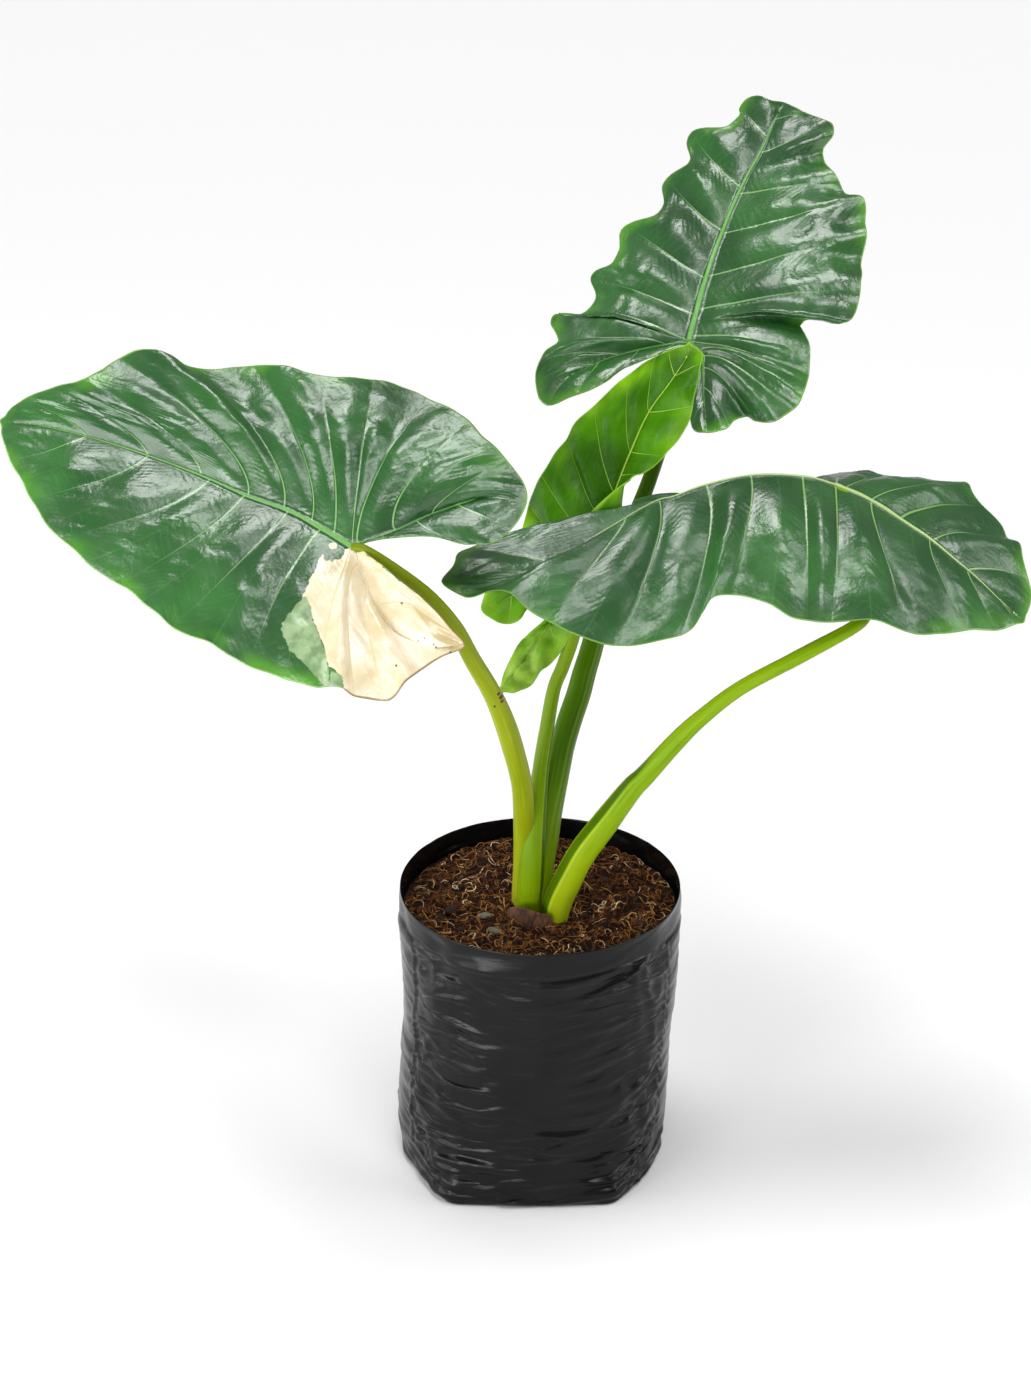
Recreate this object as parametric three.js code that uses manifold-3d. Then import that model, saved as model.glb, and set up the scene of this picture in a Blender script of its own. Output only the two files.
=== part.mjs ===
import * as THREE from 'three';
import { mergeVertices } from 'three/addons/utils/BufferGeometryUtils.js';
import Module from 'manifold-3d';

// Potted alocasia in a gusseted nursery bag. Millimetres, +Z up, origin at the middle of the bag's base.
// Four large leaves, each a petiole and a blade, stand on one short stem in a bag of coir mix.

// Clearance between pieces that touch
const SEAT_GAP = 0.3;

// Nursery bag of black film, round at the rim and folded flat with cut corners at the base
const BAG_HEIGHT = 272;
const BAG_RIM_RADIUS = 130;
const BAG_BELLY_RADIUS = 124;
const BAG_BELLY_HEIGHT = 150;
const BAG_WALL = 1.2;
const BAG_FLOOR = 1.5;
const BAG_FOLD_HEIGHT = 62;
const BAG_LEAN = -8;
const BAG_LEAN_HEIGHT = 210;
const BAG_BASE_QUARTER = [[125, 0], [124, 26], [104, 70], [78, 123], [0, 125]];
const BAG_BASE_EDGE_RADIUS = 5;
const BAG_SIDES = 56;
const BAG_LEVELS = [5, 20, 40, 62, 110, 150, 200];

// Potting mix
const SOIL_TOP = 250;
const SOIL_MOUND = 4;

// Short stem that carries all petioles, mostly buried
const STEM_CENTRE = [-3, -17];
const STEM_RADIUS = 31;
const STEM_FOOT = 196;
const STEM_TOP = 251;
const STEM_HOLE_RISE = 20;

// Dry brown scale leaf that wraps the front of the stem
const SHEATH_WALL = 1.4;
const SHEATH_HEIGHT = 15;
const SHEATH_LEAN = 2.5;
const SHEATH_TEAR = 0.16;
const SHEATH_TEAR_PITCH = 2.4;
const SHEATH_START = THREE.MathUtils.degToRad(212);
const SHEATH_END = THREE.MathUtils.degToRad(296);

// Leaf blades
const BLADE_THICKNESS = 1.2;
const BLADE_ROWS = 5;
const VEIN_SWEEP = 1.5;
const MIDRIB_CROWDING = 1.4;

// How far above a blade the cut that trims its petiole reaches
const CUTTER_RISE = 5;

// Petiole tubes
const PETIOLE_SIDES = 12;
const PETIOLE_STEPS = 22;

const wasm = await Module();
wasm.setup();

// Each leaf: the midrib from the junction to the tip, the two lobe ribs from the junction into the rear
// lobes, and the margin in six stretches that start at the tip and run once round the blade. A stretch
// ends where the next one starts. The face is the direction that the upper side looks in, and the belly
// is how far the blade swells between rib and margin where each stretch starts.
const LEAVES = {
  left: {
    face: [-0.12, -0.66, 0.74],
    sideVeins: 9,
    lobeVeins: 4,
    columnsPerVein: 2,
    fullReach: 150,
    belly: [6, 12, 8, 4, 8, 12],
    quilt: 5,
    colour: '#2f6b3a',
    midrib: [
      [-162, -90, 647], [-189, -72, 657], [-211, -62, 661], [-252, -39, 673], [-296, -18, 685],
      [-345, 3, 696], [-397, 26, 704], [-440, 46, 707], [-467, 56, 706],
    ],
    lobeRibs: [
      [[-162, -90, 647], [-130, -82, 656], [-94, -70, 669], [-53, -61, 681]],
      [[-162, -90, 647], [-149, -116, 622], [-130, -145, 598], [-106, -165, 582]],
    ],
    edge: [
      // First side, from the tip
      [
        [-479, 62, 706], [-462, 70, 723], [-431, 65, 737], [-401, 60, 747], [-374, 75, 760],
        [-351, 72, 770], [-326, 62, 767], [-310, 59, 758], [-285, 61, 755], [-256, 57, 759],
        [-224, 46, 763], [-192, 31, 759],
      ],
      // First rear lobe, outer edge
      [[-145, 32, 756], [-114, 24, 747], [-73, -3, 737], [-45, -35, 722], [-22, -50, 700]],
      // First rear lobe, inner edge
      [[-13, -67, 678], [-36, -97, 655], [-60, -98, 652], [-96, -93, 658], [-127, -92, 656]],
      // Second rear lobe, inner edge
      [[-153, -92, 649], [-132, -123, 640], [-98, -151, 622], [-76, -168, 603]],
      // Second rear lobe, outer edge
      [
        [-66, -173, 591], [-83, -174, 582], [-98, -178, 574], [-113, -192, 567], [-125, -194, 553],
        [-136, -191, 549], [-155, -193, 552], [-166, -192, 560], [-178, -188, 560],
      ],
      // Second side, back to the tip
      [
        [-191, -181, 557], [-215, -169, 558], [-246, -160, 567], [-277, -148, 580], [-311, -125, 587],
        [-347, -95, 603], [-373, -81, 616], [-405, -63, 635], [-429, -38, 648], [-455, 1, 669],
        [-474, 40, 692],
      ],
    ],
  },
  top: {
    face: [-0.2, -0.58, 0.79],
    sideVeins: 9,
    lobeVeins: 4,
    columnsPerVein: 3,
    fullReach: 130,
    belly: [5, 10, 8, 3, 8, 10],
    quilt: 6,
    colour: '#2f6f3a',
    midrib: [
      [136, 170, 745], [154, 228, 788], [171, 269, 821], [190, 306, 853], [209, 333, 879],
      [219, 353, 896], [228, 369, 909],
    ],
    lobeRibs: [
      [[136, 170, 745], [156, 154, 735], [181, 129, 722], [197, 106, 711]],
      [[136, 170, 745], [105, 176, 738], [64, 177, 727], [27, 171, 712]],
    ],
    edge: [
      // First side, from the tip
      [
        [235, 379, 917], [250, 355, 913], [272, 350, 905], [277, 326, 899], [267, 324, 881],
        [276, 288, 870], [285, 277, 855], [299, 258, 856], [299, 247, 838], [301, 226, 831],
        [296, 217, 811], [293, 182, 799], [288, 168, 781],
      ],
      // First rear lobe, outer edge
      [
        [281, 148, 773], [268, 150, 767], [257, 168, 765], [245, 176, 764], [237, 164, 760],
        [244, 134, 751], [242, 117, 732], [235, 92, 721], [227, 88, 709],
      ],
      // First rear lobe, inner edge
      [
        [209, 77, 701], [193, 89, 696], [185, 100, 697], [174, 92, 697], [165, 78, 693], [148, 83, 688],
        [136, 98, 688], [136, 137, 714],
      ],
      // Second rear lobe, inner edge
      [
        [139, 162, 737], [115, 164, 737], [102, 160, 733], [78, 158, 723], [57, 145, 714],
        [33, 145, 702],
      ],
      // Second rear lobe, outer edge
      [
        [7, 152, 690], [-2, 173, 697], [-5, 185, 710], [4, 190, 729], [16, 199, 737], [11, 231, 743],
        [16, 239, 749], [30, 227, 751],
      ],
      // Second side, back to the tip
      [
        [47, 223, 759], [52, 243, 765], [48, 265, 774], [52, 269, 782], [66, 261, 791], [75, 278, 800],
        [77, 305, 811], [88, 305, 820], [108, 296, 828], [116, 312, 836], [118, 340, 847],
        [125, 339, 856], [140, 335, 865], [143, 347, 870], [141, 369, 878], [146, 374, 888],
        [157, 368, 895], [177, 363, 898], [191, 377, 904], [191, 387, 909], [198, 390, 916],
        [209, 383, 921], [220, 375, 920],
      ],
    ],
  },
  young: {
    face: [-0.45, -0.8, 0.4],
    sideVeins: 7,
    lobeVeins: 3,
    columnsPerVein: 2,
    fullReach: 90,
    belly: [3, 7, 4, 2, 4, 5],
    quilt: 3,
    colour: '#5fa812',
    midrib: [
      [40, 25, 564], [53, 46, 604], [64, 57, 633], [80, 69, 674], [96, 76, 709], [114, 76, 736],
      [130, 76, 762],
    ],
    lobeRibs: [
      [[40, 25, 564], [13, 42, 559], [-14, 52, 548], [-37, 53, 535]],
      [[40, 25, 564], [20, 28, 542], [4, 25, 520], [-12, 21, 494]],
    ],
    edge: [
      // First side, from the tip
      [
        [131, 77, 772], [114, 88, 764], [101, 93, 756], [76, 95, 737], [51, 95, 713], [30, 98, 691],
        [22, 97, 675], [9, 93, 661], [1, 85, 646], [-6, 87, 628], [-11, 82, 617], [-16, 71, 599],
      ],
      // First rear lobe, outer edge
      [[-26, 66, 572], [-40, 68, 551], [-52, 70, 538]],
      // First rear lobe, inner edge
      [[-55, 56, 528], [-42, 39, 523], [-31, 35, 522], [-19, 32, 527], [-10, 37, 537], [13, 31, 547]],
      // Second rear lobe, inner edge
      [[34, 24, 556], [17, 24, 542], [0, 22, 528], [-15, 25, 512], [-26, 28, 491], [-33, 20, 478]],
      // Second rear lobe, outer edge
      [
        [-35, 12, 468], [-26, 9, 464], [-8, 11, 473], [0, 14, 484], [8, 15, 490], [25, 16, 512],
        [44, 18, 538],
      ],
      // Second side, back to the tip
      [
        [53, 23, 558], [64, 29, 586], [70, 29, 620], [79, 32, 660], [92, 38, 667], [107, 45, 676],
        [113, 50, 683], [130, 51, 709], [136, 58, 737], [141, 62, 762], [141, 66, 769],
      ],
    ],
  },
  right: {
    face: [0, -0.35, 0.94],
    sideVeins: 8,
    lobeVeins: 5,
    columnsPerVein: 2,
    fullReach: 140,
    belly: [6, 15, 8, 0, -6, 2],
    quilt: 5,
    colour: '#2f6b38',
    midrib: [
      [264, 62, 646], [296, 54, 633], [332, 40, 613], [347, 33, 605], [365, 24, 592], [385, 14, 578],
      [407, 4, 559], [421, 0, 547],
    ],
    lobeRibs: [
      [
        [264, 62, 646], [236, 64, 653], [191, 60, 656], [149, 50, 651], [118, 38, 644], [99, 28, 642],
        [55, -4, 627], [6, -38, 608], [-41, -56, 601],
      ],
      [[264, 62, 646], [235, 88, 637], [191, 104, 623], [137, 104, 612]],
    ],
    edge: [
      // First side, from the tip
      [
        [430, -2, 540], [420, -8, 539], [402, -20, 539], [376, -34, 546], [355, -42, 546],
        [333, -50, 548], [318, -50, 551], [296, -52, 561], [275, -56, 563],
      ],
      // First rear lobe, outer edge
      [
        [253, -62, 565], [234, -60, 566], [216, -56, 567], [195, -46, 576], [169, -40, 581],
        [150, -48, 583], [141, -58, 574], [129, -68, 560], [107, -76, 554], [69, -84, 552],
        [42, -88, 558], [11, -86, 573], [-10, -84, 584], [-29, -76, 599], [-45, -70, 598],
        [-66, -70, 592],
      ],
      // First rear lobe, inner edge
      [
        [-87, -66, 605], [-76, -60, 618], [-72, -56, 627], [-60, -52, 632], [-23, -42, 642],
        [19, -26, 645], [69, 4, 639], [124, 40, 634], [179, 62, 636], [233, 72, 635],
      ],
      // Second rear lobe, inner edge
      [[259, 66, 638], [235, 92, 629], [192, 110, 616], [146, 112, 610], [113, 100, 621], [90, 84, 624]],
      // Second rear lobe, outer edge
      [[82, 70, 620], [100, 84, 596], [128, 110, 585], [176, 138, 590], [232, 146, 611]],
      // Second side, back to the tip
      [
        [276, 140, 629], [314, 142, 626], [336, 138, 625], [368, 130, 623], [389, 116, 628],
        [396, 104, 620], [418, 84, 601], [423, 70, 592], [432, 58, 591], [434, 44, 580], [439, 22, 561],
        [437, 8, 552],
      ],
    ],
  },
};

// Each petiole: its centre line from the stem to the junction, and its radius at those points
const PETIOLES = {
  left: {
    colour: '#a9b23a',
    line: [
      [-16, -10, 226], [-16, -12, 269], [-14, -22, 330], [-17, -42, 395], [-26, -55, 443],
      [-35, -64, 477], [-45, -72, 505], [-60, -82, 538], [-75, -90, 572], [-96, -95, 602],
      [-123, -98, 627], [-150, -95, 645],
    ],
    radius: [11, 11, 11.5, 11, 11, 10.5, 10, 9.2, 8.4, 7.2, 6.0, 5.4],
  },
  top: {
    colour: '#6f9a18',
    line: [
      [-9, -16, 224], [-8, -15, 265], [-3, -11, 291], [3, -4, 325], [6, 0, 346], [14, 14, 376],
      [20, 28, 401], [27, 40, 423], [35, 50, 444], [41, 60, 464], [47, 70, 481], [62, 94, 530],
      [83, 124, 578], [102, 152, 619], [122, 172, 678], [136, 172, 741],
    ],
    radius: [13, 13, 14, 14, 13.6, 12, 11.6, 11.6, 11, 10.6, 10.4, 9.5, 8, 6.8, 6.2, 5.8],
  },
  young: {
    colour: '#84ab12',
    line: [
      [-15, -24, 233], [-12, -26, 280], [-8, -22, 316], [-5, -12, 349], [0, -2, 393], [5, 6, 426],
      [12, 14, 466], [20, 18, 487], [28, 20, 512], [38, 25, 549],
    ],
    radius: [7, 7.5, 8, 8, 7.4, 6.8, 6, 6, 6.4, 5.6],
  },
  right: {
    colour: '#8aa816',
    line: [
      [10, -28, 236], [15, -30, 268], [25, -32, 295], [39, -35, 326], [60, -38, 359], [82, -41, 393],
      [93, -42, 406], [119, -43, 439], [141, -43, 463], [176, -43, 493], [226, -41, 522],
      [274, -35, 548], [288, -22, 556], [305, -6, 568], [311, 18, 584], [303, 40, 605], [284, 53, 628],
      [271, 58, 638],
    ],
    radius: [13, 13.4, 13.4, 12.6, 11.9, 10.3, 9.5, 8.3, 7.2, 6.5, 6.6, 5.9, 5.8, 5.8, 5.8, 5.8, 5.6, 5.6],
  },
};

// A closed solid for joins and cuts, from a geometry
function toSolid(geometry) {
  const bare = geometry.clone();
  bare.deleteAttribute('normal');
  bare.deleteAttribute('uv');
  const merged = mergeVertices(bare, 1e-4);
  const vertProperties = new Float32Array(merged.attributes.position.array);
  const triVerts = new Uint32Array(merged.index.array);
  return new wasm.Manifold(new wasm.Mesh({ numProp: 3, vertProperties, triVerts }));
}

function toGeometry(solid) {
  const mesh = solid.getMesh();
  const geometry = new THREE.BufferGeometry();
  geometry.setAttribute('position', new THREE.BufferAttribute(new Float32Array(mesh.vertProperties), 3));
  geometry.setIndex(new THREE.BufferAttribute(new Uint32Array(mesh.triVerts), 1));
  return geometry;
}

function indexedGeometry(points, index) {
  const geometry = new THREE.BufferGeometry().setFromPoints(points);
  geometry.setIndex(index);
  return geometry;
}

// Closed skin over a stack of equal rings, with a single point allowed as the first and last ring. The
// four-sided cells are split along one diagonal, or along the other one.
function skinRings(rings, otherDiagonal = false) {
  const points = rings.flat();
  const starts = [];
  let count = 0;
  for (const ring of rings) {
    starts.push(count);
    count += ring.length;
  }
  const index = [];
  for (let r = 0; r < rings.length - 1; r += 1) {
    const lower = rings[r];
    const upper = rings[r + 1];
    const sides = Math.max(lower.length, upper.length);
    for (let i = 0; i < sides; i += 1) {
      const next = (i + 1) % sides;
      const a = starts[r] + (lower.length > 1 ? i : 0);
      const b = starts[r] + (lower.length > 1 ? next : 0);
      const c = starts[r + 1] + (upper.length > 1 ? next : 0);
      const d = starts[r + 1] + (upper.length > 1 ? i : 0);
      if (otherDiagonal && a !== b && c !== d) {
        index.push(a, b, d, b, c, d);
        continue;
      }
      if (a !== b) index.push(a, b, c);
      if (c !== d) index.push(a, c, d);
    }
  }
  return indexedGeometry(points, index);
}

// Distance from the axis to the edge of the folded base, from one quarter of its outline
function baseRadius(angle) {
  const x = Math.abs(Math.cos(angle));
  const y = Math.abs(Math.sin(angle));
  for (let i = 0; i < BAG_BASE_QUARTER.length - 1; i += 1) {
    const [px, py] = BAG_BASE_QUARTER[i];
    const [qx, qy] = BAG_BASE_QUARTER[i + 1];
    if (y * qx <= x * qy + 1e-9) return (px * qy - py * qx) / (x * (qy - py) - y * (qx - px));
  }
  return BAG_BELLY_RADIUS;
}

// Distance from the bag's axis to its outer face, by angle and height
function bagRadius(angle, z) {
  const flare = THREE.MathUtils.smoothstep(z, BAG_BELLY_HEIGHT, BAG_HEIGHT);
  const round = THREE.MathUtils.lerp(BAG_BELLY_RADIUS, BAG_RIM_RADIUS, flare);
  return THREE.MathUtils.lerp(baseRadius(angle), round, THREE.MathUtils.smoothstep(z, 0, BAG_FOLD_HEIGHT));
}

// One ring of the bag's plan at a height, drawn in by an inset. The filled bag leans a little.
function bagRing(z, inset) {
  const lean = BAG_LEAN * (1 - THREE.MathUtils.smoothstep(z, 0, BAG_LEAN_HEIGHT));
  const ring = [];
  for (let i = 0; i < BAG_SIDES; i += 1) {
    const angle = (i * 2 * Math.PI) / BAG_SIDES;
    const radius = bagRadius(angle, z) - inset;
    ring.push(new THREE.Vector3(lean + radius * Math.cos(angle), radius * Math.sin(angle), z));
  }
  return ring;
}

function growBag() {
  const heights = [...BAG_LEVELS, SOIL_TOP, BAG_HEIGHT];
  const rings = [[new THREE.Vector3(0, 0, 0)], bagRing(0, BAG_BASE_EDGE_RADIUS)];
  for (const z of heights) rings.push(bagRing(z, 0));
  for (const z of heights.toReversed()) rings.push(bagRing(z, BAG_WALL));
  rings.push(bagRing(BAG_FLOOR, BAG_BASE_EDGE_RADIUS + BAG_WALL));
  rings.push([new THREE.Vector3(0, 0, BAG_FLOOR)]);
  return skinRings(rings);
}

function stemSolid(extra, top) {
  const profile = [
    [0, STEM_FOOT - extra],
    [STEM_RADIUS * 0.55, STEM_FOOT - extra],
    [STEM_RADIUS * 0.9 + extra, STEM_FOOT + 18],
    [STEM_RADIUS + extra, STEM_TOP - 14],
    [STEM_RADIUS + extra, top],
    [0, top],
  ];
  const geometry = new THREE.LatheGeometry(profile.map(([r, z]) => new THREE.Vector2(r, z)), 24);
  geometry.rotateX(Math.PI / 2);
  geometry.translate(STEM_CENTRE[0], STEM_CENTRE[1], 0);
  return toSolid(geometry);
}

// The mix fills the bag, with its cells split as the bag's inner face has them, and with plain holes for
// the stem and the petioles
function pottingMix() {
  const wall = BAG_WALL + SEAT_GAP;
  const floor = BAG_FLOOR + SEAT_GAP;
  const rings = [[new THREE.Vector3(0, 0, floor)], bagRing(floor, BAG_BASE_EDGE_RADIUS + wall)];
  for (const z of BAG_LEVELS) rings.push(bagRing(z, wall));
  rings.push(bagRing(SOIL_TOP, wall));
  const crown = SOIL_TOP + SOIL_MOUND;
  rings.push(bagRing(SOIL_TOP, wall).map((p) => new THREE.Vector3(p.x * 0.6, p.y * 0.6, crown)));
  rings.push([new THREE.Vector3(0, 0, crown)]);
  let mix = toSolid(skinRings(rings, true)).subtract(stemSolid(SEAT_GAP, STEM_TOP + STEM_HOLE_RISE));
  for (const petiole of Object.values(PETIOLES)) {
    mix = mix.subtract(toSolid(petioleGeometry(petiole, SEAT_GAP)));
  }
  return toGeometry(mix);
}

function ringCentre(ring) {
  return ring.reduce((sum, p) => sum.add(p), new THREE.Vector3()).divideScalar(ring.length);
}

// A papery wrap: part of a ring that stands on the mix, with an uneven torn top
function drySheath() {
  const steps = 14;
  const inner = STEM_RADIUS + SEAT_GAP + 0.3;
  const foot = SOIL_TOP + SOIL_MOUND + SEAT_GAP;
  const rings = [];
  for (let i = 0; i <= steps; i += 1) {
    const share = i / steps;
    const angle = THREE.MathUtils.lerp(SHEATH_START, SHEATH_END, share);
    const torn = 1 - SHEATH_TEAR * Math.cos(i * SHEATH_TEAR_PITCH);
    const height = SHEATH_HEIGHT * (0.35 + 0.65 * Math.sin(Math.PI * share)) * torn;
    const lean = SHEATH_LEAN * Math.sin(Math.PI * share);
    const at = (radius, z) => new THREE.Vector3(
      STEM_CENTRE[0] + radius * Math.cos(angle),
      STEM_CENTRE[1] + radius * Math.sin(angle),
      z,
    );
    rings.push([
      at(inner, foot),
      at(inner + lean, foot + height),
      at(inner + SHEATH_WALL + lean, foot + height),
      at(inner + SHEATH_WALL, foot),
    ]);
  }
  rings.unshift([ringCentre(rings[0])]);
  rings.push([ringCentre(rings[rings.length - 1])]);
  return skinRings(rings);
}

const toVectors = (list) => list.map((p) => new THREE.Vector3(...p));

function smoothCurve(list, closed = false) {
  return new THREE.CatmullRomCurve3(toVectors(list), closed, 'catmullrom', 0.5);
}

// The columns of a blade run from a rib to the margin. Each of the six margin stretches is paired with a
// rib, whose stations it meets outwards from the junction or back towards it.
function bladeColumns(leaf) {
  const margin = smoothCurve(leaf.edge.flat(), true);
  const count = leaf.edge.flat().length;
  const midrib = smoothCurve(leaf.midrib);
  const lobes = leaf.lobeRibs.map((rib) => smoothCurve(rib));
  const pairs = [
    { rib: midrib, outwards: false, veins: leaf.sideVeins },
    { rib: lobes[0], outwards: true, veins: leaf.lobeVeins },
    { rib: lobes[0], outwards: false, veins: leaf.lobeVeins },
    { rib: lobes[1], outwards: true, veins: leaf.lobeVeins },
    { rib: lobes[1], outwards: false, veins: leaf.lobeVeins },
    { rib: midrib, outwards: true, veins: leaf.sideVeins },
  ];
  const columns = [];
  let first = 0;
  pairs.forEach(({ rib, outwards, veins }, s) => {
    const length = leaf.edge[s].length;
    const steps = veins * leaf.columnsPerVein;
    const nextBelly = leaf.belly[(s + 1) % pairs.length];
    for (let i = 0; i < steps; i += 1) {
      const reach = outwards ? i / steps : 1 - i / steps;
      const station = reach ** MIDRIB_CROWDING;
      columns.push({
        root: rib.getPoint(station),
        along: rib.getTangent(station),
        rim: margin.getPoint(((first + (length * i) / steps) % count) / count),
        phase: reach * veins,
        spread: Math.sin(Math.PI * reach),
        belly: THREE.MathUtils.lerp(leaf.belly[s], nextBelly, i / steps),
      });
    }
    first += length;
  });
  return columns;
}

// A point of a blade's upper side: straight out from the rib, swept towards the tip, raised between the
// veins and hollowed along the ribs
function bladePoint(column, t, leaf) {
  const face = new THREE.Vector3(...leaf.face).normalize();
  const reach = column.rim.clone().sub(column.root);
  const forward = column.along.clone().multiplyScalar(reach.dot(column.along));
  const outward = reach.clone().sub(forward);
  const sweep = t ** (1 + (VEIN_SWEEP - 1) * column.spread);
  const point = column.root.clone().addScaledVector(outward, t).addScaledVector(forward, sweep);
  const across = column.along.clone().cross(reach);
  if (across.dot(face) < 0) across.negate();
  const up = across.divideScalar(reach.length()).addScaledVector(face, 0.5).normalize();
  const size = Math.min(1, reach.length() / leaf.fullReach);
  const quilt = leaf.quilt * Math.sin(Math.PI * column.phase) ** 2;
  return point.addScaledVector(up, (column.belly + quilt) * size * Math.sin(Math.PI * t));
}

// Closed blade between two offsets from its upper side, measured down through the leaf
function bladeGeometry(leaf, above, below) {
  const columns = bladeColumns(leaf);
  const rows = BLADE_ROWS;
  const points = columns.flatMap((column) =>
    Array.from({ length: rows + 1 }, (_, r) => bladePoint(column, r / rows, leaf)));
  const top = [];
  columns.forEach((column, c) => {
    const next = (c + 1) % columns.length;
    for (let r = 0; r < rows; r += 1) {
      const a = c * (rows + 1) + r;
      const b = next * (rows + 1) + r;
      if (points[a].distanceTo(points[b]) > 1e-6) top.push(a, b, a + 1);
      top.push(b, b + 1, a + 1);
    }
  });
  const sheet = mergeVertices(indexedGeometry(points, top), 1e-3);
  sheet.computeVertexNormals();
  const firstNormal = new THREE.Vector3().fromBufferAttribute(sheet.attributes.normal, 0);
  const flip = firstNormal.dot(new THREE.Vector3(...leaf.face)) < 0 ? -1 : 1;
  const count = sheet.attributes.position.count;
  const shell = [];
  for (const offset of [above, -below]) {
    for (let i = 0; i < count; i += 1) {
      const normal = new THREE.Vector3().fromBufferAttribute(sheet.attributes.normal, i);
      const place = new THREE.Vector3().fromBufferAttribute(sheet.attributes.position, i);
      shell.push(place.addScaledVector(normal, flip * offset));
    }
  }
  const faces = [];
  const edges = new Map();
  const array = sheet.index.array;
  for (let i = 0; i < array.length; i += 3) {
    const a = array[i];
    const b = flip > 0 ? array[i + 1] : array[i + 2];
    const c = flip > 0 ? array[i + 2] : array[i + 1];
    if (a === b || b === c || c === a) continue;
    faces.push(a, b, c, a + count, c + count, b + count);
    for (const [p, q] of [[a, b], [b, c], [c, a]]) {
      if (edges.has(`${q},${p}`)) edges.delete(`${q},${p}`);
      else edges.set(`${p},${q}`, [p, q]);
    }
  }
  for (const [p, q] of edges.values()) faces.push(q, p, p + count, q, p + count, q + count);
  return indexedGeometry(shell, faces);
}

// Tapered tube along a petiole's centre line
function petioleGeometry(petiole, extra) {
  const path = smoothCurve(petiole.line);
  const frames = path.computeFrenetFrames(PETIOLE_STEPS, false);
  const lastRadius = petiole.radius.length - 1;
  const rings = [];
  for (let i = 0; i <= PETIOLE_STEPS; i += 1) {
    const t = i / PETIOLE_STEPS;
    const centre = path.getPointAt(t);
    const u = path.getUtoTmapping(t) * lastRadius;
    const from = Math.min(Math.floor(u), lastRadius - 1);
    const radius = THREE.MathUtils.lerp(petiole.radius[from], petiole.radius[from + 1], u - from) + extra;
    const ring = [];
    for (let k = 0; k < PETIOLE_SIDES; k += 1) {
      const angle = (2 * Math.PI * k) / PETIOLE_SIDES;
      ring.push(centre.clone()
        .addScaledVector(frames.normals[i], radius * Math.cos(angle))
        .addScaledVector(frames.binormals[i], radius * Math.sin(angle)));
    }
    rings.push(ring);
  }
  rings.unshift([path.getPoint(0)]);
  rings.push([path.getPoint(1)]);
  return skinRings(rings);
}

// Everything above the stem's top
function aboveStem() {
  const size = 1400;
  const box = new THREE.BoxGeometry(size, size, size);
  box.translate(0, 0, STEM_TOP + SEAT_GAP + size / 2);
  return toSolid(box);
}

// Petioles share the stem by wrapping each other: each gives way to those that stand in front of it,
// and each ends just under its blade
function petioleSolids() {
  const clear = aboveStem();
  const placed = [];
  const solids = {};
  for (const name of ['right', 'top', 'young', 'left']) {
    const petiole = PETIOLES[name];
    let solid = toSolid(petioleGeometry(petiole, 0)).intersect(clear);
    for (const other of placed) solid = solid.subtract(other);
    solid = solid.subtract(toSolid(bladeGeometry(LEAVES[name], CUTTER_RISE, BLADE_THICKNESS + SEAT_GAP)));
    placed.push(toSolid(petioleGeometry(petiole, SEAT_GAP)));
    solids[name] = solid;
  }
  return solids;
}

function material(colour, roughness) {
  return new THREE.MeshStandardMaterial({ color: colour, roughness, metalness: 0 });
}

function addPiece(group, name, geometry, finish) {
  geometry.computeVertexNormals();
  const mesh = new THREE.Mesh(geometry, finish);
  mesh.name = name;
  group.add(mesh);
}

const alocasia = new THREE.Group();
addPiece(alocasia, 'grow_bag', growBag(), material('#262628', 0.42));
addPiece(alocasia, 'potting_mix', pottingMix(), material('#4a2c17', 0.95));
addPiece(alocasia, 'stem_base', toGeometry(stemSolid(0, STEM_TOP)), material('#6d5a2c', 0.75));
addPiece(alocasia, 'dry_sheath', drySheath(), material('#5a3a22', 0.85));
for (const [name, solid] of Object.entries(petioleSolids())) {
  addPiece(alocasia, `petiole_${name}`, toGeometry(solid), material(PETIOLES[name].colour, 0.45));
}
for (const [name, leaf] of Object.entries(LEAVES)) {
  addPiece(alocasia, `blade_${name}`, bladeGeometry(leaf, 0, BLADE_THICKNESS), material(leaf.colour, 0.38));
}

export default alocasia;
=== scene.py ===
import math
from functools import partial

import bpy
import numpy as np
from bpy.props import FloatProperty, FloatVectorProperty, IntProperty, PointerProperty
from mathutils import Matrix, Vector


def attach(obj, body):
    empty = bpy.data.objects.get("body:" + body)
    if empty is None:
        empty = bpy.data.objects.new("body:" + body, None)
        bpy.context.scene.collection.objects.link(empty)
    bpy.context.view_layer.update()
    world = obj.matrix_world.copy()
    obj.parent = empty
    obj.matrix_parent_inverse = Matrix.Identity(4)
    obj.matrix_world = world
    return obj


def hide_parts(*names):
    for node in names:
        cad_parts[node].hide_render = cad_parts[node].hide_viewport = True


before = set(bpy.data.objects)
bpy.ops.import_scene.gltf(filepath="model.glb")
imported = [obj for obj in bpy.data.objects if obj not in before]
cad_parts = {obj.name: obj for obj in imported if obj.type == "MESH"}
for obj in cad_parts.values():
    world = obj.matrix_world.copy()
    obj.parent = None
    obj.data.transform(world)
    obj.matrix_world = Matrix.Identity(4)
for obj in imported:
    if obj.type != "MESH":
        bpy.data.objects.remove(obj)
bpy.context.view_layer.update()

# Potted variegated alocasia: four arrow-shaped leaves on fleshy stalks in a black nursery grow bag.
# Lists are in millimetres in the frame of the CAD: +Z up, origin at the middle of the bag's base.

bl_info = {
    "name": "Potted Alocasia",
    "version": (1, 0, 0),
    "blender": (4, 5, 0),
    "location": "3D View > Sidebar > Alocasia",
    "description": "Dresses the packed model of a potted variegated alocasia",
    "category": "Object",
}

MM = 0.001

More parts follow.
